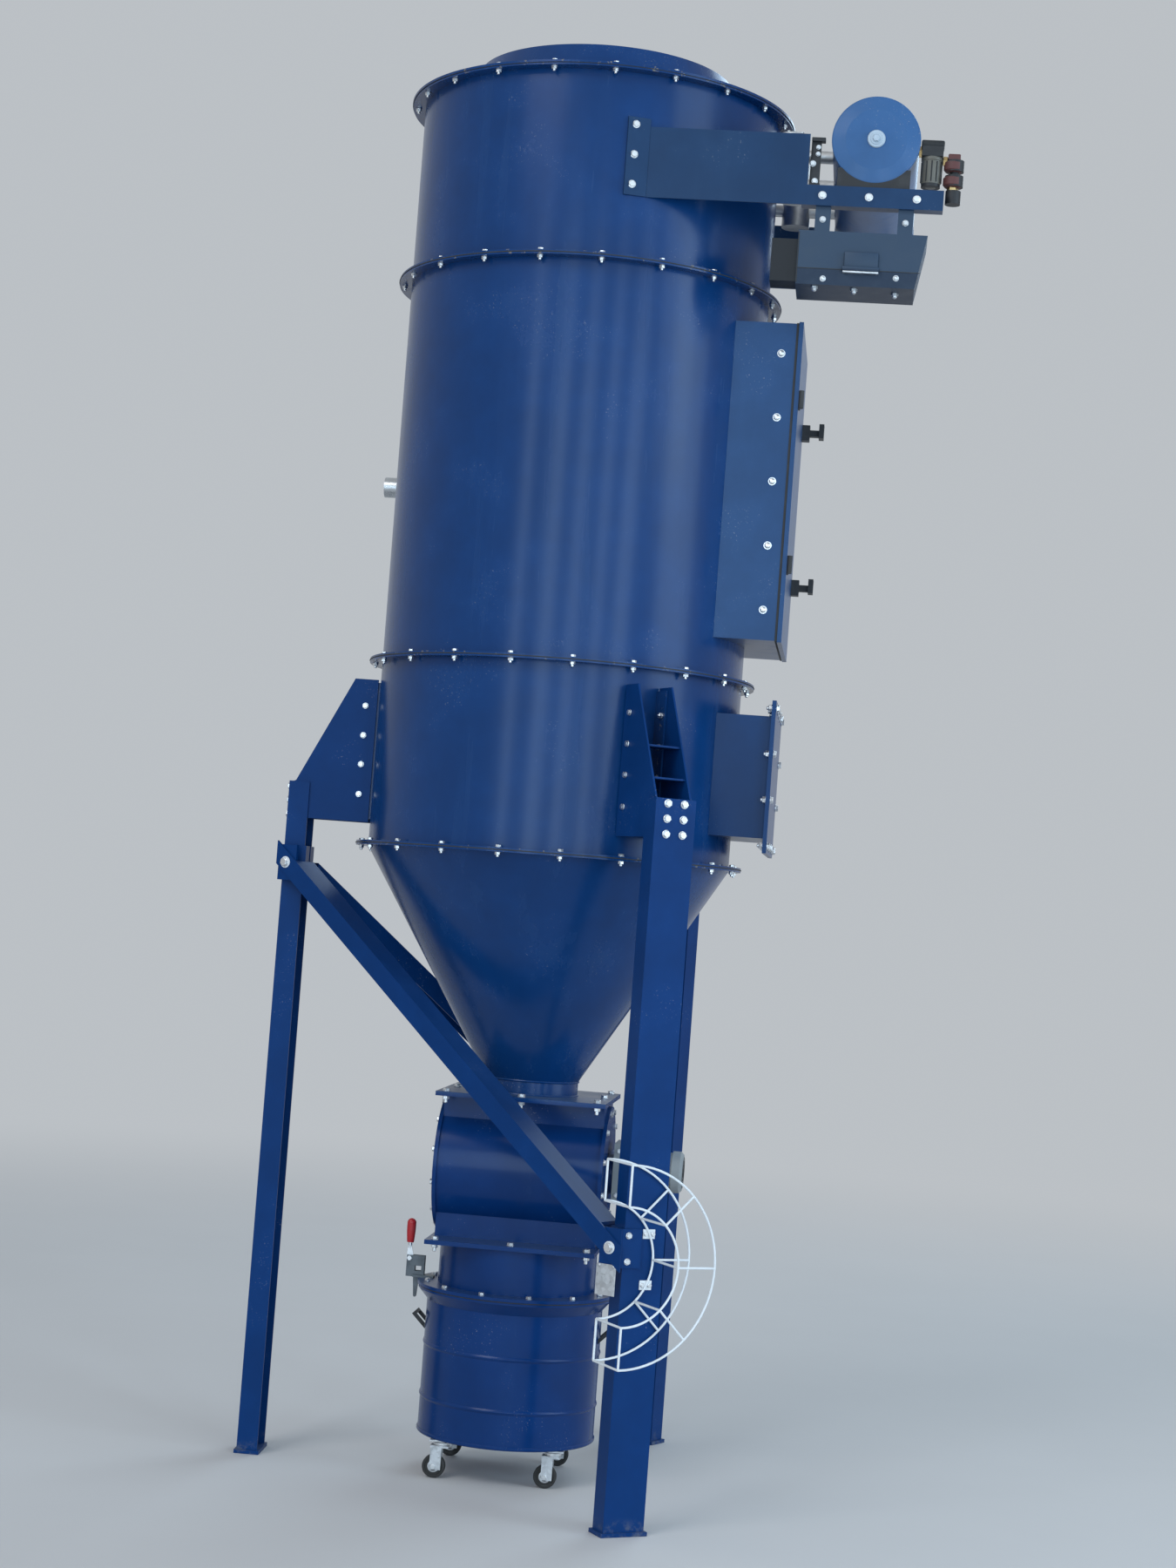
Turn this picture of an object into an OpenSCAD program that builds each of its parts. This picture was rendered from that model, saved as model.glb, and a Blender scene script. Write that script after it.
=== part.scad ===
// Cyclone separator with filter head: a round vessel on three channel legs,
// with a cone, a rotary valve and a wheeled dust drum clamped under it.
// Millimetres. +Z is up, the origin is on the vessel's axis at floor level,
// -Y is the front and +X is the side with the access door.

/* [Vessel] */
// Outer diameter of the vessel
barrel_d = 1000; // [900:10:1100]
// Thickness of the vessel's sheet
wall = 4; // [3:1:6]
// How far the joint flanges stand out from the vessel
flange_w = 34; // [24:1:46]
// Thickness of one joint flange
flange_t = 6; // [4:1:8]
// Height of the filter head
head_h = 502; // [480:1:560]
// Height of the lower barrel
lower_h = 505; // [500:5:600]
// Height of the cone
cone_h = 615; // [560:5:680]
// Outer diameter of the neck under the cone
neck_d = 258; // [220:2:300]
// Height of the neck under the cone
neck_h = 38; // [30:1:60]

/* [Lid] */
// How far the lid's flange stands out past the head's flange
lid_over = 3; // [0:1:20]
// Diameter of the raised middle of the lid at its foot
cap_d = 800; // [700:10:860]
// Height of the raised middle of the lid
cap_h = 108; // [80:1:160]
// How much narrower the raised middle is at its top, on each side
cap_draft = 45; // [20:5:80]

/* [Rotary valve] */
// Width of the square flanges of the valve
plate_w = 460; // [450:5:500]
// Thickness of the square flanges
plate_t = 6; // [5:1:9]
// Length of the valve's housing between its end covers
valve_w = 440; // [400:5:460]
// Outer radius of the valve's round housing
valve_r = 176; // [166:1:184]
// Height of the valve over its flanges
valve_h = 398; // [386:1:410]
// Width of the throat above and below the round housing
throat_w = 236; // [220:2:300]
// Thickness of the end covers
cover_t = 10; // [8:1:14]

/* [Drum] */
// Diameter of the drum
drum_d = 484; // [440:2:500]
// Diameter of the drum's flared rim
rim_d = 536; // [520:2:550]
// Height of the drum from its floor to its rim
drum_h = 393; // [360:1:420]
// Height of the flared rim
rim_h = 36; // [24:1:48]
// Thickness of the drum's sheet
drum_wall = 3; // [2:0.5:4]
// Thickness of the drum's lid
lid_t = 9; // [6:1:12]
// Diameter of the round outlet between the valve and the drum's lid
outlet_d = 433; // [400:1:440]
// Height of that outlet
outlet_h = 126; // [110:1:140]

/* [Castors] */
// Diameter of a castor wheel
wheel_d = 62; // [56:1:70]
// Width of a castor wheel
wheel_w = 20; // [16:1:24]
// Height of a castor, from the floor to the drum
castor_h = 105; // [100:1:120]
// Distance of the castors from the axis of the drum
castor_r = 214; // [190:1:220]
// Distance of the wheel's axle from the swivel
trail = 18; // [14:1:24]

/* [Frame] */
// Turn of the three legs from the axis of the door
leg_turn = 2; // [0:0.5:4]
// Distance of the legs' outer faces from the axis
leg_r = 730; // [700:1:780]
// Width of a leg, along its outer face
leg_w = 115; // [104:1:130]
// Depth of a leg
leg_d = 57; // [50:1:66]
// Thickness of a leg's sheet
leg_t = 6; // [4:1:8]
// How far the legs reach up between the brackets' side plates
leg_lap = 100; // [90:1:130]
// Width of a foot plate
foot_w = 130; // [130:1:160]
// Thickness of a foot plate
foot_t = 10; // [8:1:14]
// Diameter of the anchor hole in a foot plate
anchor_d = 16; // [12:1:20]
// Height of the brackets' lower edge over the joint under the lower barrel
bracket_low = 58; // [52:1:66]
// Height of the brackets
bracket_h = 396; // [380:1:404]
// How far the brackets' upper edge stands out from the vessel
bracket_nose = 69; // [56:1:80]
// Thickness of the brackets' plates
bracket_t = 5; // [4:1:6]
// Width of the braces' upper face
brace_w = 80; // [60:1:90]
// Height of the braces' two flanges
brace_lip = 50; // [30:1:60]
// Thickness of the braces
brace_t = 6; // [4:1:8]
// How far the braces' upper end lies under the top of the legs
brace_drop = 227; // [207:1:247]
// Height of the braces' lower end
brace_low = 717; // [700:1:740]

/* [Access door and vent port] */
// Distance of the door from the axis of the vessel
door_x = 598; // [580:1:640]
// Height of the door box over the joint under the upper barrel
door_low = 108; // [92:1:132]
// Height of the door box
door_h = 856; // [800:1:960]
// Height of the upper barrel over the door box
door_high = 96; // [92:1:140]
// Width of the door box
door_w = 520; // [460:5:560]
// Thickness of the door
door_t = 12; // [8:1:16]
// Sheet of the door box and of the vent port
box_t = 4; // [3:1:6]
// How far the latch handles stand out from the door
latch_out = 62; // [50:1:80]
// Height of the vent port over the joint under the lower barrel
port_low = 86; // [78:1:96]
// Height of the vent port
port_h = 328; // [300:1:332]
// Width of the vent port
port_w = 440; // [400:5:480]
// How far the flange of the vent port stands out
port_flange = 40; // [30:1:45]

/* [Ports] */
// Height of the inlet pipe over the joint under the upper barrel
inlet_up = 566; // [500:1:700]
// Outer diameter of the inlet pipe
inlet_d = 60; // [50:1:80]
// How far the inlet pipe reaches out from the axis
inlet_out = 622; // [600:1:680]
// Outer diameter of the clean air outlet
clean_d = 160; // [120:5:200]
// How far the clean air outlet reaches out from the axis
clean_out = 640; // [620:5:700]

/* [Air tank] */
// Outer diameter of the air tank
tank_d = 228; // [200:2:236]
// Length of the air tank
tank_l = 950; // [900:5:980]
// Distance of the air tank from the axis of the vessel
tank_x = 771; // [766:1:790]
// Height of the air tank's axis over the joint under the head
tank_up = 352; // [348:1:370]
// Height of the two rails under the air tank
rail_h = 53; // [46:1:60]
// Distance between the outer faces of the two rails
rail_span = 940; // [920:5:950]
// Outer end of the rails
rail_end = 955; // [930:1:958]

/* [Hidden] */

// Sheet steel is painted blue, small fittings are bright or black
blue = [0.05, 0.22, 0.58];
zinc = [0.75, 0.77, 0.8];
black = [0.08, 0.08, 0.09];
red = [0.75, 0.08, 0.1];
white = [0.85, 0.87, 0.88];

// Clearance of a piece that seats on a curved face
seat = 0.3;
// Clearance of a turning pin in its bore
run = 0.05;
// Overlap of pieces that are cut through one another
eps = 1;

barrel_r = barrel_d / 2;
flange_r = barrel_r + flange_w;
drum_r = drum_d / 2;
rim_r = rim_d / 2;
outlet_r = outlet_d / 2;
neck_r = neck_d / 2;

// Heights of the joints, from the floor up
drum_top = castor_h + drum_h;
lid_z = drum_top + 3;
lid_top = lid_z + lid_t;
valve_z = lid_top + outlet_h;
valve_top = valve_z + valve_h;
cone_z = valve_top + plate_t + neck_h;
barrel_z = cone_z + cone_h;
upper_z = barrel_z + lower_h;
upper_h = door_low + door_h + door_high;
head_z = upper_z + upper_h;
head_top = head_z + head_h;
door_z = upper_z + door_low;
port_z = barrel_z + port_low;
inlet_z = upper_z + inlet_up;
tank_z = head_z + tank_up;
bracket_z = barrel_z + bracket_low;
bracket_top = bracket_z + bracket_h;
leg_h = bracket_z + leg_lap;
brace_high = leg_h - brace_drop;

$fn = 96;

// A round shell with a flange at each end
module flanged_shell(z, h) {
    translate([0, 0, z])
        rotate_extrude()
            polygon([
                [barrel_r - wall, 0],
                [flange_r, 0],
                [flange_r, flange_t],
                [barrel_r, flange_t],
                [barrel_r, h - flange_t],
                [flange_r, h - flange_t],
                [flange_r, h],
                [barrel_r - wall, h]
            ]);
}

// The space that the vessel takes, with the seat of what is fitted on it
module vessel_space(z, h) {
    translate([0, 0, z])
        cylinder(r = barrel_r + seat, h = h, $fn = 360);
}

module head_lid() {
    cap_r = cap_d / 2;
    color(blue)
        translate([0, 0, head_top])
            rotate_extrude()
                polygon([
                    [0, cap_h - wall],
                    [cap_r - cap_draft - wall, cap_h - wall],
                    [cap_r - wall, 0],
                    [flange_r + lid_over, 0],
                    [flange_r + lid_over, flange_t],
                    [cap_r, flange_t],
                    [cap_r - cap_draft, cap_h],
                    [0, cap_h]
                ]);
}

module head_shell() {
    color(blue)
        difference() {
            flanged_shell(head_z, head_h);
            translate([0, 0, clean_z])
                rotate([-90, 0, 0])
                    cylinder(r = clean_d / 2 - wall, h = barrel_r + eps);
        }
}

inlet_y = barrel_r - inlet_d;

// The inlet pipe has a plain end, and a socket where it meets the barrel
plain_end = 92;
socket_t = 4;
inlet_wall = 3;

module inlet_tube(r, from, reach) {
    translate([from - inlet_out, inlet_y, inlet_z])
        rotate([0, 90, 0])
            cylinder(r = r, h = reach);
}

module upper_barrel() {
    color(blue)
        difference() {
            union() {
                flanged_shell(upper_z, upper_h);
                inlet_tube(inlet_d / 2, 0, plain_end + eps);
                difference() {
                    inlet_tube(inlet_d / 2 + socket_t, plain_end, inlet_out - plain_end);
                    translate([0, 0, upper_z])
                        cylinder(r = barrel_r - wall / 2, h = upper_h);
                }
            }
            door_opening(box_t);
            inlet_tube(inlet_d / 2 - inlet_wall, -eps, inlet_out - barrel_r / 5);
        }
}

// Cleats on the barrel, which the brackets' side plates are bolted to
cleat_depth = 54;
cleat_margin = 9;

module bracket_cleats() {
    for (angle = LEGS)
        rotate([0, 0, angle])
            for (side = [-1, 1])
                translate([barrel_r - wall, side * cleat_y - bracket_t / 2, bracket_z + cleat_margin])
                    cube([cleat_depth + wall, bracket_t, bracket_h - 2 * cleat_margin]);
}

module lower_barrel() {
    color(blue)
        difference() {
            union() {
                flanged_shell(barrel_z, lower_h);
                difference() {
                    bracket_cleats();
                    translate([0, 0, barrel_z])
                        cylinder(r = barrel_r - wall / 2, h = lower_h);
                }
            }
            port_opening(box_t);
        }
}

// Square flange of the cone, the valve and the outlet
module square_plate(z) {
    translate([-plate_w / 2, -plate_w / 2, z])
        cube([plate_w, plate_w, plate_t]);
}

module cone() {
    color(blue)
        difference() {
            union() {
                rotate_extrude()
                    polygon([
                        [neck_r - wall, valve_top],
                        [neck_r, valve_top],
                        [neck_r, cone_z],
                        [barrel_r, barrel_z - flange_t],
                        [flange_r, barrel_z - flange_t],
                        [flange_r, barrel_z],
                        [barrel_r - wall, barrel_z],
                        [neck_r - wall, cone_z]
                    ]);
                square_plate(valve_top);
            }
            translate([0, 0, valve_top - eps])
                cylinder(r = neck_r - wall, h = neck_h + plate_t);
        }
}

// Rotary valve: a round housing that lies across, between two square flanges
axis_z = valve_z + valve_h / 2;
hub_r = 55;
hub_l = 18;
cover_lip = 8;

module valve_body() {
    color(blue) {
        square_plate(valve_z);
        square_plate(valve_top - plate_t);
        translate([-valve_w / 2, -throat_w / 2, valve_z])
            cube([valve_w, throat_w, valve_h]);
        translate([-valve_w / 2, 0, axis_z])
            rotate([0, 90, 0])
                cylinder(r = valve_r, h = valve_w);
    }
}

module valve_ends() {
    color(blue)
        for (side = [-1, 1])
            translate([side > 0 ? valve_w / 2 : -valve_w / 2 - cover_t, 0, axis_z])
                rotate([0, 90, 0]) {
                    cylinder(r = valve_r + cover_lip, h = cover_t);
                    translate([0, 0, side > 0 ? 0 : -hub_l])
                        cylinder(r = hub_r, h = cover_t + hub_l);
                }
}

// Drive of the rotary valve: a gearbox on its right end cover, with its motor
gear_x = valve_w / 2 + cover_t + hub_l;
gear_l = 70;
gear_w = 130;
gear_h = 160;
gear_drop = 70;
motor_up = 20;
motor_r = 52;
motor_l = 88;
motor_flange_r = 62;
motor_flange_t = 12;
fan_cover_r = 57;
fan_cover_l = 30;
terminal_box = [62, 72, 28];

module gearmotor() {
    color(zinc)
        translate([gear_x, 0, axis_z]) {
            translate([0, -gear_w / 2, -gear_drop])
                cube([gear_l, gear_w, gear_h]);
            translate([gear_l, 0, motor_up])
                rotate([0, 90, 0])
                    rotate_extrude()
                        polygon([
                            [0, 0],
                            [motor_flange_r, 0],
                            [motor_flange_r, motor_flange_t],
                            [motor_r, motor_flange_t],
                            [motor_r, motor_l],
                            [fan_cover_r, motor_l],
                            [fan_cover_r, motor_l + fan_cover_l - 8],
                            [fan_cover_r - 8, motor_l + fan_cover_l],
                            [0, motor_l + fan_cover_l]
                        ]);
            translate([gear_l + 16, -terminal_box.y / 2, motor_up + motor_r - 8])
                cube([terminal_box.x, terminal_box.y, terminal_box.z + 8]);
        }
}

module outlet_ring() {
    color(blue)
        difference() {
            union() {
                translate([0, 0, lid_top])
                    cylinder(r = outlet_r, h = outlet_h);
                square_plate(valve_z - plate_t);
            }
            translate([0, 0, lid_top - eps])
                cylinder(r = outlet_r - wall, h = outlet_h + 2 * eps);
        }
}

lid_lip = 4;
lid_ledge = 10;

module drum_lid() {
    color(blue)
        difference() {
            translate([0, 0, lid_z])
                cylinder(r = rim_r + lid_lip, h = lid_t);
            translate([0, 0, lid_z - eps])
                cylinder(r = outlet_r - wall - lid_ledge, h = lid_t + 2 * eps);
        }
}

module drum() {
    color(blue)
        rotate_extrude()
            polygon([
                [0, castor_h],
                [drum_r - 6, castor_h],
                [drum_r, castor_h + 6],
                [drum_r, drum_top - rim_h],
                [rim_r, drum_top - 6],
                [rim_r, lid_z],
                [rim_r - 8, lid_z],
                [drum_r - drum_wall, drum_top - rim_h + 4],
                [drum_r - drum_wall, castor_h + 8],
                [drum_r - 8, castor_h + drum_wall],
                [0, castor_h + drum_wall]
            ]);
}

// A bent bar on each side of the drum, which the clamps pull on
handle_w = 76;
handle_bar = 9;
handle_reach = 46;
handle_z = 384;

module drum_handle() {
    translate([drum_r, 0, handle_z])
        rotate([0, -45, 0])
            difference() {
                translate([-20, -handle_w / 2, -handle_bar / 2])
                    cube([20 + handle_reach, handle_w, handle_bar]);
                translate([-20 - eps, -handle_w / 2 + handle_bar, -handle_bar])
                    cube([20 + eps + handle_reach - handle_bar, handle_w - 2 * handle_bar, 2 * handle_bar]);
            }
}

module drum_handles() {
    color(black)
        difference() {
            union() {
                drum_handle();
                mirror([1, 0, 0])
                    drum_handle();
            }
            translate([0, 0, castor_h])
                cylinder(r = drum_r + seat, h = drum_h);
        }
}

// Toggle clamp: a bracket on the drum's lid with a hook that reaches down to
// the handle, and a lever that turns on the bracket's pin
pin_x = 300;
pin_z = 560;
pin_r = 4;
fork_gap = 14;
fork_plate = 4;
bracket_foot = [58, 40, 6];
lever_t = 8;
lever_eye = 10;
stem_r = 5.5;
grip_r = 12.5;
grip_l = 66;
grip_z = pin_z + 42;
hook_x = pin_x - 20;
hook_end = lid_top - 52;

module clamp_disc(x, z, r, t) {
    translate([x, -t / 2, z])
        rotate([-90, 0, 0])
            cylinder(r = r, h = t, $fn = 32);
}

module clamp_bracket() {
    cheek = fork_gap / 2 + fork_plate;
    color(zinc)
        difference() {
            union() {
                translate([rim_r - bracket_foot.x + 20, -bracket_foot.y / 2, lid_top])
                    cube(bracket_foot);
                for (side = [-1, 1])
                    translate([rim_r - 10, side > 0 ? cheek - fork_plate : -cheek, lid_top])
                        cube([pin_x - rim_r + 18, fork_plate, pin_z - lid_top + 8]);
                clamp_disc(pin_x, pin_z, pin_r, 2 * cheek);
                hull() {
                    clamp_disc(hook_x, lid_top, 8, 10);
                    clamp_disc(hook_x, hook_end, 4, 10);
                }
            }
            translate([rim_r - 2, -cheek - eps, lid_top + 16])
                cube([18, 2 * cheek + 2 * eps, 14]);
        }
}

module clamp_lever() {
    difference() {
        union() {
            color(zinc) {
                hull() {
                    clamp_disc(pin_x, pin_z, lever_eye, lever_t);
                    clamp_disc(pin_x + 3, pin_z + 30, stem_r, lever_t);
                }
                translate([pin_x + 3, 0, pin_z + 26])
                    cylinder(r = stem_r, h = grip_z - pin_z - 22, $fn = 32);
            }
            color(red)
                translate([pin_x + 3, 0, grip_z]) {
                    cylinder(r1 = grip_r - 3, r2 = grip_r, h = grip_l - grip_r);
                    translate([0, 0, grip_l - grip_r])
                        sphere(r = grip_r);
                }
        }
        clamp_disc(pin_x, pin_z, pin_r + run, 2 * lever_t);
    }
}

module clamp_bracket_right() {
    clamp_bracket();
}

module clamp_bracket_left() {
    mirror([1, 0, 0])
        clamp_bracket();
}

module clamp_lever_right() {
    clamp_lever();
}

module clamp_lever_left() {
    mirror([1, 0, 0])
        clamp_lever();
}

// Castors stand at four places round the drum's floor
castor_at = castor_r * sqrt(0.5);
CASTORS = [
    [-castor_at, -castor_at],
    [castor_at, -castor_at],
    [castor_at, castor_at],
    [-castor_at, castor_at]
];
king_r = 6;
plate_side = 60;
castor_plate_t = 4;
swivel_gap = 0.3;
fork_t = 3;
fork_in = wheel_w / 2 + 3;
axle_r = 4;
crown_t = 5;

module castor_plates() {
    color(zinc)
        for (at = CASTORS)
            translate([at.x, at.y, castor_h - castor_plate_t])
                difference() {
                    translate([-plate_side / 2, -plate_side / 2, 0])
                        cube([plate_side, plate_side, castor_plate_t]);
                    translate([0, 0, -eps])
                        cylinder(r = king_r + run, h = castor_plate_t + 2 * eps, $fn = 32);
                }
}

// The fork of one castor, which swivels on its king pin and carries the axle
module castor_fork(at) {
    crown_z = castor_h - castor_plate_t - swivel_gap;
    color(zinc)
        translate([at.x, at.y, 0]) {
            translate([0, 0, crown_z - 14])
                cylinder(r = 20, h = 14, $fn = 48);
            translate([0, 0, crown_z - 1])
                cylinder(r = king_r, h = castor_plate_t + swivel_gap + 0.5, $fn = 32);
            translate([-20 - trail / 2, -fork_in - fork_t, crown_z - 14 - crown_t])
                cube([40 + trail / 2, 2 * (fork_in + fork_t), crown_t + 1]);
            for (side = [-1, 1])
                translate([-trail - 10, side * (fork_in + fork_t / 2) - fork_t / 2, wheel_d / 2 - 8])
                    cube([30, fork_t, crown_z - 14 - wheel_d / 2 + 8]);
            translate([-trail, -fork_in - fork_t, wheel_d / 2])
                rotate([-90, 0, 0])
                    cylinder(r = axle_r, h = 2 * (fork_in + fork_t), $fn = 32);
        }
}

module castor_wheel(at) {
    color(black)
        translate([at.x - trail, at.y, wheel_d / 2])
            rotate([90, 0, 0])
                rotate_extrude()
                    polygon([
                        [axle_r + run, -wheel_w / 2 - 2],
                        [axle_r + 7, -wheel_w / 2 - 2],
                        [axle_r + 9, -wheel_w / 2 + 2],
                        [wheel_d / 2 - 8, -wheel_w / 2 + 2],
                        [wheel_d / 2 - 7, -wheel_w / 2],
                        [wheel_d / 2 - 2, -wheel_w / 2],
                        [wheel_d / 2, -wheel_w / 2 + 2],
                        [wheel_d / 2, wheel_w / 2 - 2],
                        [wheel_d / 2 - 2, wheel_w / 2],
                        [wheel_d / 2 - 7, wheel_w / 2],
                        [wheel_d / 2 - 8, wheel_w / 2 - 2],
                        [axle_r + 9, wheel_w / 2 - 2],
                        [axle_r + 7, wheel_w / 2 + 2],
                        [axle_r + run, wheel_w / 2 + 2]
                    ]);
}

// The legs stand at thirds round the vessel: left, front right and back right
LEGS = [180 + leg_turn, -60 + leg_turn, 60 + leg_turn];
leg_in = leg_r - leg_d;
cleat_play = 1;
cleat_y = leg_w / 2 - leg_t - 1.5 * bracket_t - cleat_play;

// A leg is a folded channel with its web outward, on a foot plate
module leg(angle) {
    color(blue)
        rotate([0, 0, angle]) {
            translate([0, 0, foot_t])
                linear_extrude(height = leg_h - foot_t)
                    difference() {
                        translate([leg_in, -leg_w / 2])
                            square([leg_d, leg_w]);
                        translate([leg_in - eps, -leg_w / 2 + leg_t])
                            square([leg_d - leg_t + eps, leg_w - 2 * leg_t]);
                    }
            difference() {
                translate([leg_in - 6, -foot_w / 2, 0])
                    cube([leg_d + 12, foot_w, foot_t]);
                translate([anchor_r, 0, -eps])
                    cylinder(d = anchor_d, h = foot_t + 2 * eps, $fn = 32);
            }
        }
}
anchor_r = leg_in + 26;

module leg_left() {
    leg(LEGS[0]);
}

module leg_front() {
    leg(LEGS[1]);
}

module leg_back() {
    leg(LEGS[2]);
}

// Folded bracket between the barrel and a leg: two side plates that stand
// inside the leg's channel, and cross plates between them
plate_y = leg_w / 2 - leg_t - bracket_t;
shoulder = 17;
cross_in = 56;
cross_back = 6;

module side_outline() {
    polygon([
        [barrel_r + 4, bracket_z],
        [leg_in, bracket_z],
        [leg_r - leg_t, bracket_z],
        [leg_r - leg_t, leg_h - 2],
        [leg_r - shoulder, leg_h + 3],
        [barrel_r + bracket_nose, bracket_top],
        [barrel_r + 4, bracket_top]
    ]);
}

// Distance of the brackets' slanted edge from the axis, at a given height
function edge_at(z) =
    leg_r - shoulder
    - (leg_r - shoulder - barrel_r - bracket_nose) * (z - leg_h - 3) / (bracket_top - leg_h - 3);

module leg_bracket(angle) {
    rise = bracket_top - leg_h;
    color(blue)
        rotate([0, 0, angle]) {
            for (side = [-1, 1])
                translate([0, side > 0 ? plate_y + bracket_t : -plate_y, 0])
                    rotate([90, 0, 0])
                        linear_extrude(height = bracket_t)
                            side_outline();
            for (z = [leg_h + rise / 6, leg_h + rise * 0.45])
                translate([barrel_r + cross_in, -plate_y - eps, z])
                    cube([
                        edge_at(z + bracket_t) - cross_back - barrel_r - cross_in,
                        2 * plate_y + 2 * eps,
                        bracket_t
                    ]);
        }
}

module leg_bracket_left() {
    leg_bracket(LEGS[0]);
}

module leg_bracket_front() {
    leg_bracket(LEGS[1]);
}

module leg_bracket_back() {
    leg_bracket(LEGS[2]);
}

// A brace is a channel with its web on top, which runs down from the left leg
// to a right leg. It passes in front of the legs' corners and is bolted to the
// ears of two cuffs, which are plates folded round the legs
wrap_in = 10;
wrap_h = 98;
cuff_t = 6;
ear_t = 8;
ear_l = 62;
ear_root = 14;
bolt_in = 30;
web_back = 34;
flange_past = 34;
cuff_x = leg_r + cuff_t;
cuff_y = leg_w / 2 + cuff_t;
corner_t = cuff_x * cos(30) - cuff_y * sin(30);
corner_n = cuff_x * sin(30) + cuff_y * cos(30);
chord_half = corner_t - bolt_in;
chord_n = corner_n + ear_t + brace_t;

// Drawn in the leg's own frame, for a brace on the leg's +Y side
module brace_cuff(z) {
    translate([0, 0, z - wrap_h / 2])
        linear_extrude(height = wrap_h) {
            translate([leg_in - cuff_t, leg_w / 2])
                square([leg_d + 2 * cuff_t, cuff_t]);
            translate([leg_r, wrap_in])
                square([cuff_t, cuff_y - wrap_in]);
            translate([leg_in - cuff_t, wrap_in])
                square([cuff_t, cuff_y - wrap_in]);
            rotate(60)
                ear_outline();
        }
}

// The ear lies against the brace, with its root at the cuff's outer corner
module ear_outline() {
    polygon([
        [corner_n - eps, -corner_t],
        [corner_n + ear_t + eps, -corner_t],
        [corner_n + ear_t + eps, ear_l - corner_t],
        [corner_n, ear_l - corner_t],
        [corner_n, ear_root - corner_t],
        [corner_n - 1.5 * ear_root * tan(30) - eps, 1.5 * ear_root - corner_t]
    ]);
}

// A straight bar along the brace, kept between two upright planes
module brace_strip(half, from_n, to_n, low, high) {
    drop = brace_high - brace_low;
    tilt = atan2(drop, 2 * chord_half);
    length = 2 * (half + brace_w) / cos(tilt);
    intersection() {
        translate([0, from_n, (brace_high + brace_low) / 2])
            rotate([0, tilt, 0])
                translate([-length / 2, 0, low])
                    cube([length, to_n - from_n, high - low]);
        translate([-half, 0, 0])
            cube([2 * half, 2 * chord_n, head_top]);
    }
}

// Built with the left leg at 180 and the other leg at 60 degrees
module brace() {
    lip = brace_lip / 2;
    color(blue) {
        rotate([0, 0, 30]) {
            brace_strip(chord_half + flange_past, chord_n - brace_t, chord_n, -lip, lip);
            brace_strip(chord_half - web_back, chord_n - brace_w, chord_n, lip - brace_t, lip);
            brace_strip(chord_half - web_back, chord_n - brace_w, chord_n - brace_w + brace_t, -lip, lip);
        }
        rotate([0, 0, 180])
            mirror([0, 1, 0])
                brace_cuff(brace_high);
        rotate([0, 0, 60])
            brace_cuff(brace_low);
    }
}

module brace_back() {
    rotate([0, 0, leg_turn])
        brace();
}

module brace_front() {
    rotate([0, 0, leg_turn])
        mirror([0, 1, 0])
            brace();
}

// Wire rack for a hose on the front leg: two half rings at the leg and two
// further out, joined by spokes and bars
rack_y = -122;
rack_z = 690;
rack_in = 147;
rack_out = 250;
rack_depth = 135;
wire_r = 3;
bar_r = 2.5;
tab = [4, 34, 24];
SPOKES = [0, 45, 90, 135, 180];

module rack_ring(r, level) {
    translate([0, 0, level])
        rotate_extrude(angle = 180)
            translate([r - wire_r, -wire_r])
                square(2 * wire_r);
}

module rack_bar(angle, r) {
    rotate([0, 0, angle])
        translate([r - bar_r, -bar_r, 0])
            cube([2 * bar_r, 2 * bar_r, rack_depth]);
}

module rack_spoke(angle, level) {
    rotate([0, 0, angle])
        translate([rack_in, -bar_r, level - bar_r])
            cube([rack_out - rack_in, 2 * bar_r, 2 * bar_r]);
}

module hose_rack() {
    color(white)
        rotate([0, 0, LEGS[1]])
            translate([leg_r + tab.x + wire_r - 1, rack_y, rack_z]) {
                rotate([0, 90, 0]) {
                    for (level = [0, rack_depth]) {
                        rack_ring(rack_in, level);
                        rack_ring(rack_out, level);
                        for (angle = SPOKES)
                            rack_spoke(angle, level);
                    }
                    for (angle = SPOKES)
                        rack_bar(angle, rack_in);
                    for (angle = [0, 180])
                        rack_bar(angle, rack_out);
                }
                for (z = [-tab_z, tab_z])
                    translate([-tab.x - wire_r + 1, tab_y - tab.y / 2, z - tab.z / 2])
                        cube(tab);
            }
}
tab_z = 64;
tab_y = sqrt(rack_in * rack_in - tab_z * tab_z);

// The room inside the door box, less a margin all round
module door_opening(margin) {
    translate([barrel_r / 2, -door_w / 2 + margin, door_z + margin])
        cube([barrel_r, door_w - 2 * margin, door_h - 2 * margin]);
}

module port_opening(margin) {
    translate([barrel_r / 2, -port_w / 2 + margin, port_z + margin])
        cube([barrel_r, port_w - 2 * margin, port_h - 2 * margin]);
}

module door_frame() {
    color(blue)
        difference() {
            translate([barrel_r / 2, -door_w / 2, door_z])
                cube([door_x - barrel_r / 2, door_w, door_h]);
            door_opening(box_t);
            vessel_space(upper_z, upper_h);
        }
}

module access_door() {
    color(blue)
        translate([door_x, -door_w / 2 - door_lip, door_z - door_lip])
            cube([door_t, door_w + 2 * door_lip, door_h + 2 * door_lip]);
}

// Latches on the far side of the door, hinges on the near side
knuckle_r = 7;
latch_z = [door_z + 0.24 * door_h, door_z + 0.76 * door_h];
latch_body = [22, 34, 44];
latch_y = door_w / 2 - 46;
latch_grip = [14, 46, 40];
hinge_h = 48;
hinge_leaf = [5, 30, hinge_h];
door_lip = 4;

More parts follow.
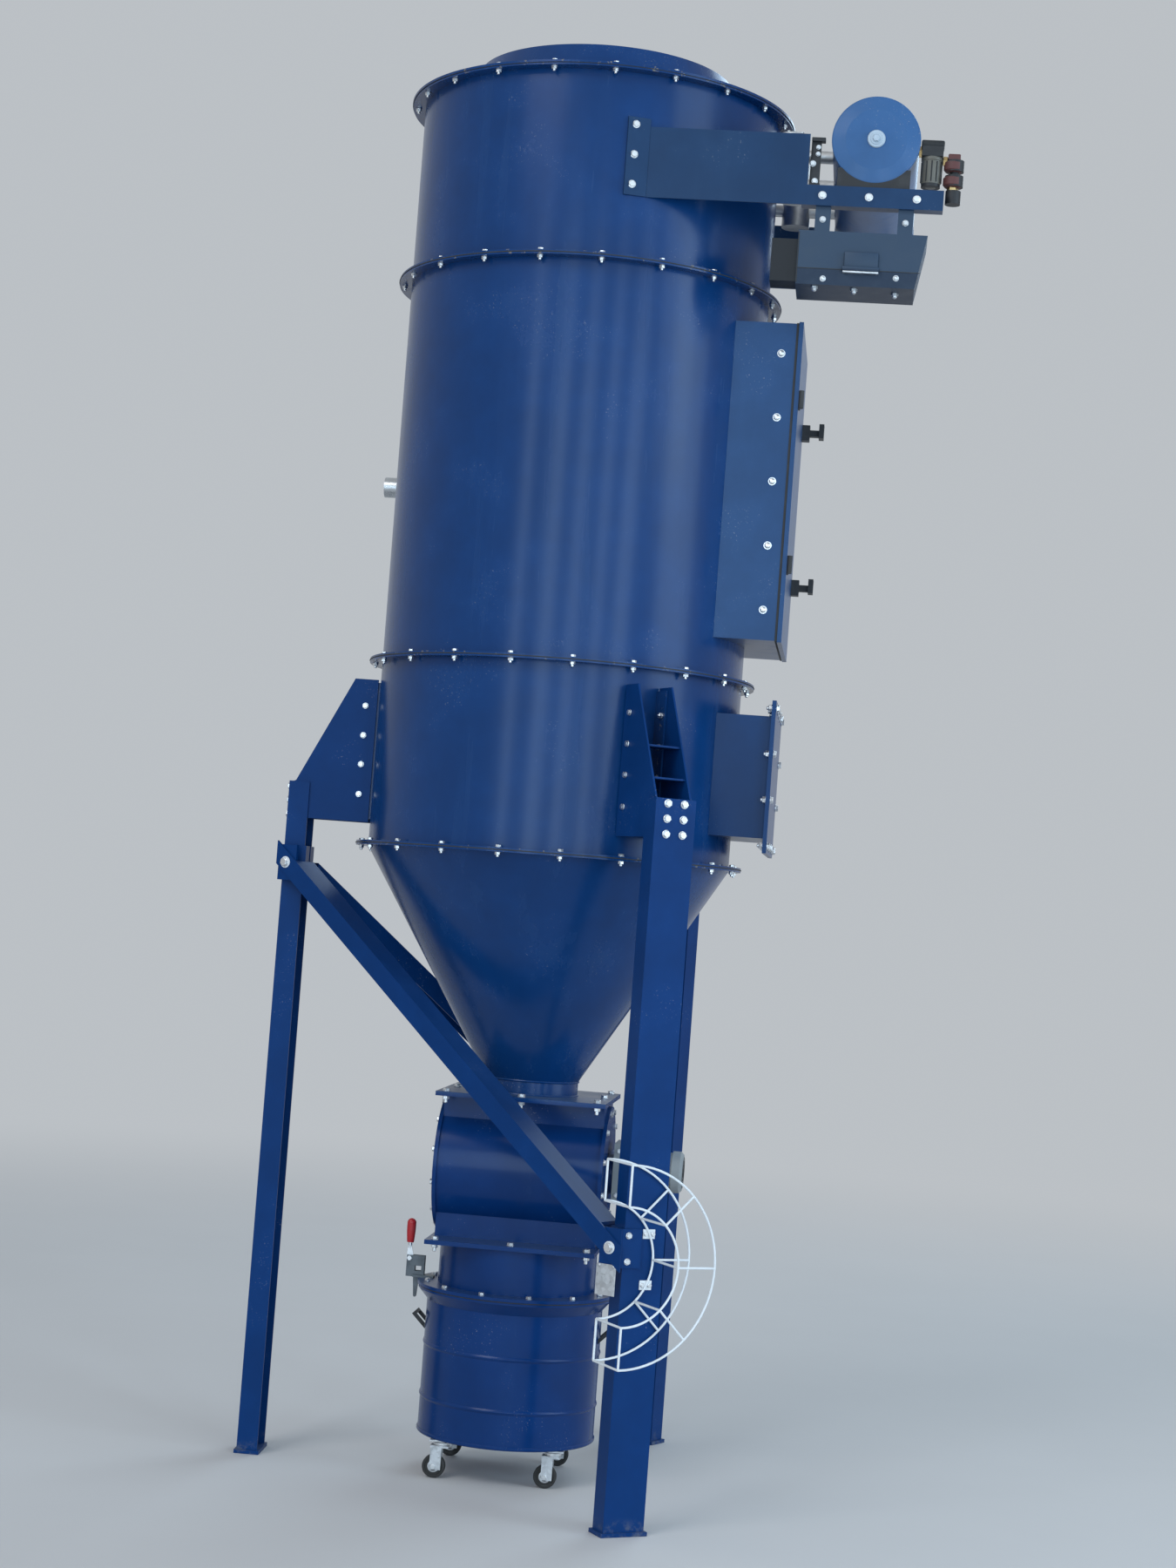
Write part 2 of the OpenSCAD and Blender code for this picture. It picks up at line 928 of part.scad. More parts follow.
module door_fittings() {
    face = door_x + door_t;
    color(black)
        for (z = latch_z) {
            translate([face, latch_y, z - latch_body.z / 2])
                cube(latch_body);
            translate([face + latch_body.x - 2, latch_y + 6, z - 9])
                cube([latch_out - latch_body.x + 2, 22, 18]);
            translate([face + latch_out - latch_grip.x, latch_y - 6, z - 14])
                cube(latch_grip);
            translate([face, -door_w / 2 - door_lip, z - hinge_h / 2])
                cube(hinge_leaf);
            translate([face + knuckle_r + seat, -door_w / 2 - door_lip, z - hinge_h / 2])
                cylinder(r = knuckle_r, h = hinge_h, $fn = 32);
        }
}

port_plate = 6;

module port_duct() {
    color(blue)
        difference() {
            union() {
                translate([barrel_r / 2, -port_w / 2, port_z])
                    cube([door_x - barrel_r / 2, port_w, port_h]);
                translate([door_x, -port_w / 2 - port_flange, port_z - port_flange])
                    cube([port_plate, port_w + 2 * port_flange, port_h + 2 * port_flange]);
            }
            port_opening(box_t);
            vessel_space(barrel_z, lower_h);
        }
}

cover_sheet = 5;

module port_cover() {
    color(zinc)
        translate([door_x + port_plate, -port_w / 2 - port_flange, port_z - port_flange])
            cube([cover_sheet, port_w + 2 * port_flange, port_h + 2 * port_flange]);
}

clean_z = head_z + head_h / 2 + 14;
clean_pcd = clean_d + 40;
clean_hole_d = 11;
clean_flange_t = 8;
clean_flange_w = 32;

module outlet_spigot() {
    color(blue)
        difference() {
            translate([0, 0, clean_z])
                rotate([-90, 0, 0]) {
                    cylinder(r = clean_d / 2, h = clean_out);
                    translate([0, 0, clean_out - clean_flange_t])
                        cylinder(r = clean_d / 2 + clean_flange_w, h = clean_flange_t);
                }
            vessel_space(head_z, head_h);
            translate([0, 0, clean_z])
                rotate([-90, 0, 0])
                    cylinder(r = clean_d / 2 - wall, h = clean_out + eps);
            for (i = [0:7])
                translate([0, clean_out - clean_flange_t - eps, clean_z])
                    rotate([-90, i * 45 + 22.5, 0])
                        translate([clean_pcd / 2, 0, 0])
                            cylinder(d = clean_hole_d, h = clean_flange_t + 2 * eps, $fn = 32);
        }
}

// Two plates from the head carry two rails, and the air tank lies across them
tank_gap = 14;
rail_z = tank_z - tank_d / 2 - tank_gap - rail_h;
wing_h = 187;
wing_t = 5;
wing_end = 600;
rail_y = rail_span / 2;
rail_w = 40;
rail_lap = 12;
saddle_w = 0.83 * tank_d;
back_rail_end = tank_x + saddle_w / 2 + 20;
foot_angle = acos(rail_y / barrel_r);
strip_w = 60;
strip_t = 5;
strip_up = 20;

module tank_bracket(end) {
    rail_l = end - wing_end + rail_lap;
    translate([0, -rail_y, rail_z])
        cube([wing_end, wing_t, wing_h]);
    rotate([0, 0, foot_angle - 90])
        translate([barrel_r - strip_t, 8 - strip_w, rail_z])
            cube([2 * strip_t, strip_w, wing_h + strip_up]);
    translate([wing_end - rail_lap, -rail_y, rail_z])
        difference() {
            cube([rail_l, rail_w, rail_h]);
            translate([-eps, wing_t, wing_t])
                cube([rail_l + 2 * eps, rail_w, rail_h - 2 * wing_t]);
        }
}

module tank_brackets() {
    color(blue)
        difference() {
            union() {
                tank_bracket(rail_end);
                mirror([0, 1, 0])
                    tank_bracket(back_rail_end);
            }
            vessel_space(head_z, head_h);
        }
}

// The room that the tank takes, with the seat of what is fitted on it
module tank_space() {
    translate([tank_x, -tank_l, tank_z])
        rotate([-90, 0, 0])
            cylinder(r = tank_d / 2 + seat, h = 2 * tank_l);
}

saddle_t = 30;
saddle_h = tank_gap + 0.16 * tank_d;

module tank_saddles() {
    color(black)
        difference() {
            for (y = [wing_t - rail_y, rail_y - wing_t - saddle_t])
                translate([tank_x - saddle_w / 2, y, rail_z + rail_h])
                    cube([saddle_w, saddle_t, saddle_h]);
            tank_space();
        }
}

module air_tank() {
    tank_r = tank_d / 2;
    bulge = 14;
    color(blue)
        translate([tank_x, -tank_l / 2, tank_z])
            rotate([-90, 0, 0])
                rotate_extrude()
                    polygon([
                        [0, 0],
                        [18, 0],
                        [18, bulge / 3],
                        [tank_r * 0.7, bulge / 2],
                        [tank_r, bulge],
                        [tank_r, tank_l - bulge],
                        [tank_r * 0.7, tank_l - bulge / 2],
                        [18, tank_l - bulge / 3],
                        [18, tank_l],
                        [0, tank_l]
                    ]);
}

// Diaphragm valves and blow pipes between the tank and the head
valve_pitch = 280;
blow_r = 17;
bonnet_r = 40;
bonnet_h = 96;
bonnet_x = 46;

module pulse_valves() {
    start = 0.7 * barrel_r;
    color(zinc)
        difference() {
            for (y = [-valve_pitch, 0, valve_pitch]) {
                translate([start, y, tank_z])
                    rotate([0, 90, 0])
                        cylinder(r = blow_r, h = tank_x - start, $fn = 48);
                translate([barrel_r + bonnet_x, y, tank_z - bonnet_h / 2])
                    cylinder(r = bonnet_r, h = bonnet_h, $fn = 48);
            }
            vessel_space(head_z, head_h);
            tank_space();
        }
}

// Filter and regulator on a short pipe from the tank: a block with a bowl
// under it, and a stack of small valves beside it
reg_y = 46 - rail_y;
reg_out = 34;
reg_x = tank_x + tank_d / 2 + reg_out;
reg_side = 56;
reg_h = 40;
reg_top = 8;
bowl_r = 25;
bowl_l = 78;
reg_pipe_r = 9;
reg_pipe_drop = 16;
stack_x = reg_x + 60;
stack_drop = 24;
STACK = [[14, 14], [24, 28], [11, 12], [24, 28], [11, 12], [20, 34]];

// Distance of the top of one part of the stack from the stack's top
function stack_at(i) = i == 0 ? 0 : stack_at(i - 1) + STACK[i - 1].y;

module regulator() {
    color(black)
        difference() {
            translate([0, reg_y, tank_z]) {
                translate([tank_x, 0, -reg_pipe_drop])
                    rotate([0, 90, 0])
                        cylinder(r = reg_pipe_r, h = reg_x - tank_x, $fn = 32);
                translate([reg_x - reg_side / 2, -reg_side / 2, reg_top - reg_h])
                    cube([reg_side, reg_side, reg_h]);
                translate([reg_x, 0, reg_top - reg_h - bowl_l])
                    cylinder(r = bowl_r, h = bowl_l + eps, $fn = 48);
                translate([reg_x, 0, -stack_drop - STACK[0].y])
                    rotate([0, 90, 0])
                        cylinder(r = reg_pipe_r, h = stack_x - reg_x, $fn = 32);
                for (i = [0:5])
                    translate([stack_x, 0, -stack_drop - stack_at(i) - STACK[i].y])
                        cylinder(r = STACK[i].x, h = STACK[i].y + (i > 0 ? eps : 0), $fn = 32);
            }
            tank_space();
        }
}

// Control box, which hangs under the front rail from two straps. Its outer
// side slants, and a narrow box stands at its inner side
box_x = wing_end - 14;
box_y = 12 - rail_y;
box_gap = 64;
box_size = [335, 180, 142];
box_slant = 26;
side_box = [68, 80, 112];
side_box_at = [10, 8];
strap_in = 40;
strap = [40, 5];

module control_box() {
    color(black)
        translate([box_x, box_y, rail_z - box_gap - box_size.z]) {
            translate([0, box_size.y, 0])
                rotate([90, 0, 0])
                    linear_extrude(height = box_size.y)
                        polygon([
                            [0, 0],
                            [box_size.x - box_slant, 0],
                            [box_size.x, box_size.z],
                            [0, box_size.z]
                        ]);
            translate([-side_box.x, side_box_at.x, side_box_at.y])
                cube([side_box.x + eps, side_box.y, side_box.z]);
            for (x = [strap_in, box_size.x - strap_in - strap.x])
                translate([x, 0, box_size.z - eps])
                    cube([strap.x, strap.y, box_gap + eps]);
        }
}

head_lid();
head_shell();
upper_barrel();
lower_barrel();
cone();
valve_body();
valve_ends();
gearmotor();
outlet_ring();
drum_lid();
drum();
drum_handles();
clamp_bracket_left();
clamp_bracket_right();
clamp_lever_left();
clamp_lever_right();
castor_plates();
castor_fork(CASTORS[0]);  // castor_fork_1
castor_fork(CASTORS[1]);  // castor_fork_2
castor_fork(CASTORS[2]);  // castor_fork_3
castor_fork(CASTORS[3]);  // castor_fork_4
castor_wheel(CASTORS[0]);  // castor_wheel_1
castor_wheel(CASTORS[1]);  // castor_wheel_2
castor_wheel(CASTORS[2]);  // castor_wheel_3
castor_wheel(CASTORS[3]);  // castor_wheel_4
leg_left();
leg_front();
leg_back();
leg_bracket_left();
leg_bracket_front();
leg_bracket_back();
brace_front();
brace_back();
hose_rack();
door_frame();
access_door();
door_fittings();
port_duct();
port_cover();
outlet_spigot();
tank_brackets();
tank_saddles();
air_tank();
pulse_valves();
regulator();
control_box();
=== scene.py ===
"""Looks of the round cyclone separator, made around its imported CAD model.

Metres, +Z up, the vessel's axis at x = y = 0, the floor at z = 0, -Y to the front.
"""

import math
import random

import bmesh
import bpy
from mathutils import Matrix, Vector


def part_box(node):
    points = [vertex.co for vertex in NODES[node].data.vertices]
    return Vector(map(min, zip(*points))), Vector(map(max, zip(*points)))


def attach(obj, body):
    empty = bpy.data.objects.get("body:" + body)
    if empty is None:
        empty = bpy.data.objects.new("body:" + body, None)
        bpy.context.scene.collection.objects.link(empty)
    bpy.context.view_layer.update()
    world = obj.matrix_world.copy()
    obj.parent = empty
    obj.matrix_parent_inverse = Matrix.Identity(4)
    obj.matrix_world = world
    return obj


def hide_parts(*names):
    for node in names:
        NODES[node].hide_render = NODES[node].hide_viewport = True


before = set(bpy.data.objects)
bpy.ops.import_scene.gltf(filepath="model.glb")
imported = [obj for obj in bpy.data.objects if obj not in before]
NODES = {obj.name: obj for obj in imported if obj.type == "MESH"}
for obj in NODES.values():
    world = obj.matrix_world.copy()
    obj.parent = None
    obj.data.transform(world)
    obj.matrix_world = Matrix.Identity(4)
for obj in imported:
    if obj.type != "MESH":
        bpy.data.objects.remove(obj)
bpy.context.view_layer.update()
random.seed(11)

# Camera

EYE = Vector((0.857, -7.351, 1.558))
AIM = Vector((0.10, -0.05, 1.90))
ROLL = math.radians(4.27)
LENS_MM = 61.2


def make_camera():
    data = bpy.data.cameras.new("camera")
    data.lens = LENS_MM
    data.sensor_width = 36
    camera = bpy.data.objects.new("camera", data)
    bpy.context.scene.collection.objects.link(camera)
    look = (AIM - EYE).to_track_quat("-Z", "Y").to_matrix().to_4x4()
    camera.matrix_world = Matrix.Translation(EYE) @ look @ Matrix.Rotation(ROLL, 4, "Z")
    bpy.context.scene.camera = camera


make_camera()

# Finishes


class Val:
    """A socket's value, so that shader maths reads as a plain expression."""

    def __init__(self, finish, socket):
        self.finish = finish
        self.socket = socket

    def math(self, operation, *others):
        return self.finish.node("ShaderNodeMath", {"operation": operation}, self, *others)

    def __add__(self, other):
        return self.math("ADD", other)

    __radd__ = __add__

    def __mul__(self, other):
        return self.math("MULTIPLY", other)

    __rmul__ = __mul__

    def __sub__(self, other):
        return self.math("SUBTRACT", other)

    def __rsub__(self, other):
        return self.finish.node("ShaderNodeMath", {"operation": "SUBTRACT"}, other, self)

    def step(self, low, high):
        """0 below low, 1 above high, smooth between; low may be above high."""
        settings = {"interpolation_type": "SMOOTHSTEP", "clamp": True}
        flip = low > high
        node = self.finish.node(
            "ShaderNodeMapRange", settings, self, min(low, high), max(low, high), 0.0, 1.0
        )
        return 1.0 - node if flip else node


class Finish:
    """A procedural material on Object coordinates."""

    def __init__(self, name, **constants):
        self.material = bpy.data.materials.new(name)
        self.material.use_nodes = True
        self.tree = self.material.node_tree
        self.tree.nodes.clear()
        self.shader = self.tree.nodes.new("ShaderNodeBsdfPrincipled")
        out = self.tree.nodes.new("ShaderNodeOutputMaterial")
        self.tree.links.new(self.shader.outputs[0], out.inputs[0])
        for socket, value in constants.items():
            self.feed(socket.replace("_", " "), value)
        place = self.tree.nodes.new("ShaderNodeTexCoord")
        self.place = Val(self, place.outputs["Object"])
        parts = self.tree.nodes.new("ShaderNodeSeparateXYZ")
        self.tree.links.new(self.place.socket, parts.inputs[0])
        self.x, self.y, self.z = (Val(self, socket) for socket in parts.outputs)

    def node(self, kind, settings, *inputs, output=0, **named):
        made = self.tree.nodes.new(kind)
        for key, value in settings.items():
            setattr(made, key, value)
        for index, value in enumerate(inputs):
            self.plug(made.inputs[index], value)
        for key, value in named.items():
            self.plug(made.inputs[key.replace("_", " ")], value)
        return Val(self, made.outputs[output])

    def plug(self, socket, value):
        if isinstance(value, Val):
            self.tree.links.new(value.socket, socket)
        elif value is not None:
            socket.default_value = value

    def feed(self, socket, value):
        if isinstance(value, tuple) and len(value) == 3:
            value = (*value, 1.0)
        self.plug(self.shader.inputs[socket], value)

    def radius(self):
        """Distance from the vessel's axis."""
        return (self.x * self.x + self.y * self.y).math("SQRT")

    def noise(self, scale, detail=2.0, rough=0.5, stretch=None):
        where = self.place
        if stretch:
            where = self.node("ShaderNodeVectorMath", {"operation": "MULTIPLY"}, where, stretch)
        return self.node(
            "ShaderNodeTexNoise", {}, Vector=where, Scale=scale, Detail=detail, Roughness=rough
        )

    def mix(self, factor, a, b):
        made = self.tree.nodes.new("ShaderNodeMix")
        made.data_type = "RGBA"
        self.plug(made.inputs[0], factor)
        for index, value in ((6, a), (7, b)):
            if isinstance(value, tuple) and len(value) == 3:
                value = (*value, 1.0)
            self.plug(made.inputs[index], value)
        return Val(self, made.outputs[2])

    def bump(self, *layers):
        """Feed bumps, each a height from 0 to 1 and its depth in metres."""
        normal = None
        for height, depth in layers:
            normal = self.node(
                "ShaderNodeBump", {}, Height=height, Distance=depth, Strength=1.0, Normal=normal
            )
        self.feed("Normal", normal)

    def up(self):
        """1 where the surface faces up, 0 where it is upright."""
        normal = self.node("ShaderNodeNewGeometry", {}, output="Normal")
        return self.node("ShaderNodeSeparateXYZ", {}, normal, output=2)


FILM = (0.008, 0.018, 0.032)
DUST = (0.115, 0.165, 0.225)
DULL_DUST = (0.30, 0.30, 0.29)
CHIPPED = (0.16, 0.15, 0.15)
SCUFFED = (0.20, 0.20, 0.19)
GRIT = (0.35, 0.35, 0.34)
BARE = ((0.46, 0.48, 0.50), (0.62, 0.64, 0.66))
RED = (0.47, 0.022, 0.028)


def paint(
    name, colour, rough=0.24, coat=0.12, wave=0.006, dust=1.0, shine=0.25, rim=None, foot=False, stub=None,
):
    """Stoved gloss paint on sheet steel: waves of the sheet, peel of the paint, dust and chips.

    rim is the radius past which edges are chipped, foot scuffs what stands near the floor, and
    stub is the height range of a pipe end that is left as bare metal.
    """
    f = Finish(name, Coat_Roughness=0.16, IOR=1.45, Specular_IOR_Level=shine)
    wide = f.noise(1.7, 2.0, stretch=(1.0, 1.0, 0.22))
    ripple = f.noise(9.0, 2.0, stretch=(1.0, 1.0, 0.035))
    streaks = f.noise(16.0, 4.0, 0.6, stretch=(1.0, 1.0, 0.07))
    patches = f.noise(5.0, 5.0, 0.62)
    specks = f.noise(240.0, 2.0)
    deep = tuple(c * 0.8 for c in colour)
    pale = tuple(c * 0.82 + d for c, d in zip(colour, FILM))
    body = f.mix(patches.step(0.3, 0.72), deep, colour)
    film = (streaks.step(0.5, 0.8) * 0.5 + patches.step(0.52, 0.8) * 0.35) * dust
    lying = f.up().step(0.55, 0.98) * (patches.step(0.2, 0.9) * 0.45 + 0.15) * dust
    body = f.mix(film, body, pale)
    body = f.mix(lying, body, DUST)
    grit = specks.step(0.66, 0.72) * patches.step(0.55, 0.62)
    roughness = rough + film * 0.22 + lying * 0.4
    if rim:
        chips = f.radius().step(rim - 0.004, rim) * f.noise(46.0, 4.0, 0.7).step(0.6, 0.66)
        body = f.mix(chips, body, CHIPPED)
        roughness = roughness + chips * 0.3
    if foot:
        low = f.z.step(0.05, 0.0) * f.noise(34.0, 5.0, 0.7).step(0.45, 0.66)
        body = f.mix(low * 0.5, body, SCUFFED)
        roughness = roughness + low * 0.35
    body = f.mix(grit * 0.35, body, GRIT)
    if stub:
        low, high = stub
        bare = f.radius().step(0.5035, 0.5055) * f.x.step(-0.10, -0.11) * f.y.step(0.39, 0.40)
        bare = bare * f.z.step(low, low + 0.001) * f.z.step(high, high - 0.001)
        worn = f.mix(patches.step(0.3, 0.7), *BARE)
        body = f.mix(bare, body, worn)
        roughness = roughness + bare * 0.02
        f.feed("Metallic", bare)
    f.feed("Coat Weight", coat)
    f.feed("Base Color", body)
    f.feed("Roughness", roughness)
    peel = f.noise(420.0, 1.0)
    f.bump((wide, wave), (ripple, wave * 0.13), (peel, 0.00006), (streaks, 0.0001))
    return f.material


def metal(name, colour, rough, grain=0.0, spangle=0.0, metallic=1.0, dirt=0.5):
    """Plated, brushed or cast metal, with stains and fine scratches."""
    f = Finish(name, Metallic=metallic)
    stain = f.noise(26.0, 5.0, 0.65)
    fine = f.noise(700.0, 2.0, stretch=(1.0, 1.0, 0.06))
    body = f.mix(stain.step(0.35, 0.75) * dirt, colour, tuple(c * 0.52 for c in colour))
    roughness = rough + stain.step(0.4, 0.8) * 0.2 + fine * grain
    if spangle:
        flakes = f.node("ShaderNodeTexVoronoi", {}, Vector=f.place, Scale=95.0, output="Color")
        tone = f.node("ShaderNodeSeparateColor", {}, flakes)
        body = f.mix(tone * spangle, body, (0.95, 0.97, 1.0))
        roughness = roughness + tone * 0.14
    f.feed("Base Color", body)
    f.feed("Roughness", roughness)
    f.bump((fine, 0.00005), (stain, 0.0002))
    return f.material


def plastic(name, colour, rough=0.4, wear=0.4, grain=0.0001, scale=320.0):
    """Moulded plastic, rubber or thick coating, with dust and handling marks."""
    f = Finish(name, IOR=1.46, Specular_IOR_Level=0.4)
    cloud = f.noise(22.0, 5.0, 0.6)
    skin = f.noise(scale, 3.0, 0.6)
    worn = tuple(c * 0.7 + 0.06 for c in colour)
    dusty = f.up().step(0.4, 0.95) * cloud.step(0.35, 0.7) * 0.4
    body = f.mix(cloud.step(0.45, 0.8) * wear, colour, worn)
    f.feed("Base Color", f.mix(dusty, body, DULL_DUST))
    f.feed("Roughness", rough + cloud * 0.25 + dusty * 0.3)
    f.bump((skin, grain), (cloud, 0.0004))
    return f.material


BLUE = (0.003, 0.043, 0.167)
vessel_paint = paint("vessel_paint", BLUE, rim=0.534)
inlet_paint = paint("inlet_paint", BLUE, rim=0.534, stub=(2.70, 2.83))
frame_paint = paint(
    "frame_paint", (0.0022, 0.039, 0.165), rough=0.40, coat=0.0, wave=0.002, dust=0.3, shine=0.14, foot=True
)
plate_paint = paint("plate_paint", (0.003, 0.042, 0.152), rough=0.32, wave=0.002, dust=0.7, shine=0.2)
door_paint = paint("door_paint", (0.022, 0.073, 0.192), rough=0.34, wave=0.002, dust=0.8, shine=0.2)
wing_paint = paint("wing_paint", (0.012, 0.046, 0.120), rough=0.34, wave=0.002, dust=0.8, shine=0.2)
drum_paint = paint("drum_paint", (0.0025, 0.036, 0.160), wave=0.004, dust=0.4, shine=0.18, foot=True)
tank_paint = paint("tank_paint", (0.044, 0.126, 0.296), rough=0.36, wave=0.001, dust=1.0)
zinc = metal("bright_zinc", (0.78, 0.79, 0.80), 0.26, grain=0.1, dirt=0.35)
dark_zinc = metal("dark_zinc", (0.13, 0.145, 0.16), 0.42, grain=0.08, dirt=0.5)
galvanised = metal("galvanised_sheet", (0.56, 0.58, 0.60), 0.38, spangle=0.35)
steel = metal("bare_steel", (0.62, 0.62, 0.62), 0.32, grain=0.15)
pale_zinc = metal("pale_zinc", (0.46, 0.54, 0.62), 0.45, grain=0.05, metallic=0.3, dirt=0.25)
brass = metal("brass", (0.72, 0.52, 0.24), 0.3)
cast_grey = paint("cast_grey_paint", (0.30, 0.32, 0.33), rough=0.42, coat=0.1, wave=0.001)
black_paint = plastic("black_steel_paint", (0.022, 0.023, 0.026), 0.38)
black_plastic = plastic("black_plastic", (0.016, 0.017, 0.019), 0.45, grain=0.0002)
tyre_rubber = plastic("tyre_rubber", (0.032, 0.031, 0.030), 0.62, wear=0.8, grain=0.0003)
seal_rubber = plastic("seal_rubber", (0.035, 0.037, 0.040), 0.6)
red_grip = plastic("red_grip", RED, 0.3, grain=0.00004)
dull_red = plastic("dull_red_plastic", (0.115, 0.042, 0.040), 0.42, grain=0.00008)
bowl_plastic = plastic("smoked_bowl", (0.130, 0.120, 0.100), 0.2, wear=0.6, grain=0.00003)
white_coat = plastic("white_coat", (0.78, 0.80, 0.82), 0.34, grain=0.00004)


def control_finish():
    """Paler sheet above the split height, painted shade below it standing in for the box's shaded underside,
    and a black box at the left.
    """
    f = Finish("control_box_paint", IOR=1.45, Specular_IOR_Level=0.35)
    cloud = f.noise(18.0, 5.0, 0.6)
    # Below SPLIT_Z the front is painted darker: painted shade standing in for the shaded underside of the
    # box, not a second paint colour.
    split = f.z.step(SPLIT_Z - 0.001, SPLIT_Z + 0.001)
    body = f.mix(split, (0.014, 0.029, 0.058), (0.030, 0.056, 0.098))
    body = f.mix(cloud.step(0.4, 0.8) * 0.35, body, (0.050, 0.072, 0.105))
    body = f.mix(f.x.step(CONTROL_X[0], CONTROL_X[0] - 0.001), body, (0.013, 0.015, 0.019))
    f.feed("Base Color", body)
    f.feed("Roughness", 0.34 + cloud * 0.25)
    f.bump((f.noise(300.0), 0.00008))
    return f.material


def lever_finish(split):
    """Plated lever below the split height, red moulded grip above it."""
    f = Finish("lever_finish")
    stain = f.noise(30.0, 4.0, 0.6)
    red = f.z.step(split, split + 0.001)
    plated = f.mix(stain.step(0.35, 0.75) * 0.4, (0.74, 0.75, 0.77), (0.42, 0.43, 0.45))
    grip = f.mix(stain.step(0.4, 0.8) * 0.4, RED, (0.36, 0.05, 0.05))
    f.feed("Base Color", f.mix(red, plated, grip))
    f.feed("Metallic", 1.0 - red)
    f.feed("Roughness", 0.28 + stain * 0.15)
    f.bump((f.noise(300.0), 0.00005))
    return f.material


# Making pieces


def turned(profile, steps):
    """A closed turned shape about +Z from (radius, height) points, as a mesh to repeat."""
    bm = bmesh.new()
    verts = [bm.verts.new((r, 0.0, z)) for r, z in profile]
    edges = [bm.edges.new(pair) for pair in zip(verts, verts[1:])]
    bmesh.ops.spin(
        bm, geom=verts + edges, cent=(0, 0, 0), axis=(0, 0, 1), angle=math.tau,
        steps=steps, use_merge=True,
    )
    bmesh.ops.remove_doubles(bm, verts=bm.verts, dist=1e-6)
    bmesh.ops.recalc_face_normals(bm, faces=bm.faces)
    mesh = bpy.data.meshes.new("turned")
    bm.to_mesh(mesh)
    bm.free()
    return mesh


def joined(*parts):
    """Several (mesh, height) pairs stacked on +Z as one mesh."""
    bm = bmesh.new()
    for mesh, height in parts:
        old = set(bm.verts)
        bm.from_mesh(mesh)
        new = [v for v in bm.verts if v not in old]
        bmesh.ops.translate(bm, verts=new, vec=(0, 0, height))
    mesh = bpy.data.meshes.new("joined")
    bm.to_mesh(mesh)
    bm.free()
    return mesh


def washer(radius, thick):
    lip = min(thick * 0.25, 0.0006)
    points = [(radius - lip, 0), (radius, lip), (radius, thick - lip), (radius - lip, thick)]
    return turned([(0, 0), *points, (0, thick)], 20)


def hexagon(across, height):
    radius = across / math.sqrt(3)
    return turned(
        [(0, 0), (radius, 0), (radius, height * 0.84), (radius * 0.86, height), (0, height)], 6
    )


ACROSS, WASHER_R, WASHER_T = 1.65, 1.08, 0.2


def bolt(size, tall=1.0):
    """Washer and hexagon head of a bolt of that thread, standing on z = 0."""
    head = hexagon(size * ACROSS, size * 0.66 * tall)
    return joined((washer(size * WASHER_R, size * WASHER_T), 0), (head, size * WASHER_T))


def nut(size, end=0.5):
    """Washer, nut and the thread's end."""
    radius = size / 2
    top = size * (0.8 + end)
    tip = top - radius * 0.3
    thread = turned([(0, 0), (radius, 0), (radius, tip), (radius * 0.7, top), (0, top)], 12)
    return joined(
        (washer(size * WASHER_R, size * WASHER_T), 0),
        (hexagon(size * ACROSS, size * 0.8), size * WASHER_T),
        (thread, size * WASHER_T),
    )


def domed(radius, height, steps=20):
    """Round head with a domed top."""
    points = [(0, 0), (radius, 0), (radius, height * 0.3)]
    for k in range(1, 6):
        angle = k * math.pi / 10
        points.append((radius * math.cos(angle), height * (0.3 + 0.7 * math.sin(angle))))
    points[-1] = (0, height)
    return turned(points, steps)


UP, DOWN = (0, 0, 1), (0, 0, -1)


def facing(point, direction, spin=0.0):
    """Places a shape's +Z along direction, at a point."""
    turn = Vector(direction).to_track_quat("Z", "Y").to_matrix().to_4x4()
    return Matrix.Translation(Vector(point)) @ turn @ Matrix.Rotation(spin, 4, "Z")


def around(angle_deg, radius, height=0.0, side=0.0):
    """A point at an angle round the vessel, moved sideways along the tangent."""
    a = math.radians(angle_deg)
    return Vector((
        radius * math.cos(a) - side * math.sin(a),
        radius * math.sin(a) + side * math.cos(a),
        height,
    ))


def ring_of(count, radius, height=0.0, first=0.0):
    """Points round an upright circle at a height, as (sideways, height) pairs."""
    turns = [math.tau * (k + first) / count for k in range(count)]
    return [(radius * math.cos(a), height + radius * math.sin(a)) for a in turns]


def outward(angle_deg, side=0.0):
    """Unit vector that points outward at an angle, or along the tangent if side is +-1."""
    a = math.radians(angle_deg)
    if side:
        return Vector((-math.sin(a), math.cos(a), 0)) * side
    return Vector((math.cos(a), math.sin(a), 0))


def any_turn():
    """A random angle for a bolt's head, since no two are tightened alike."""
    return random.uniform(0, 6)


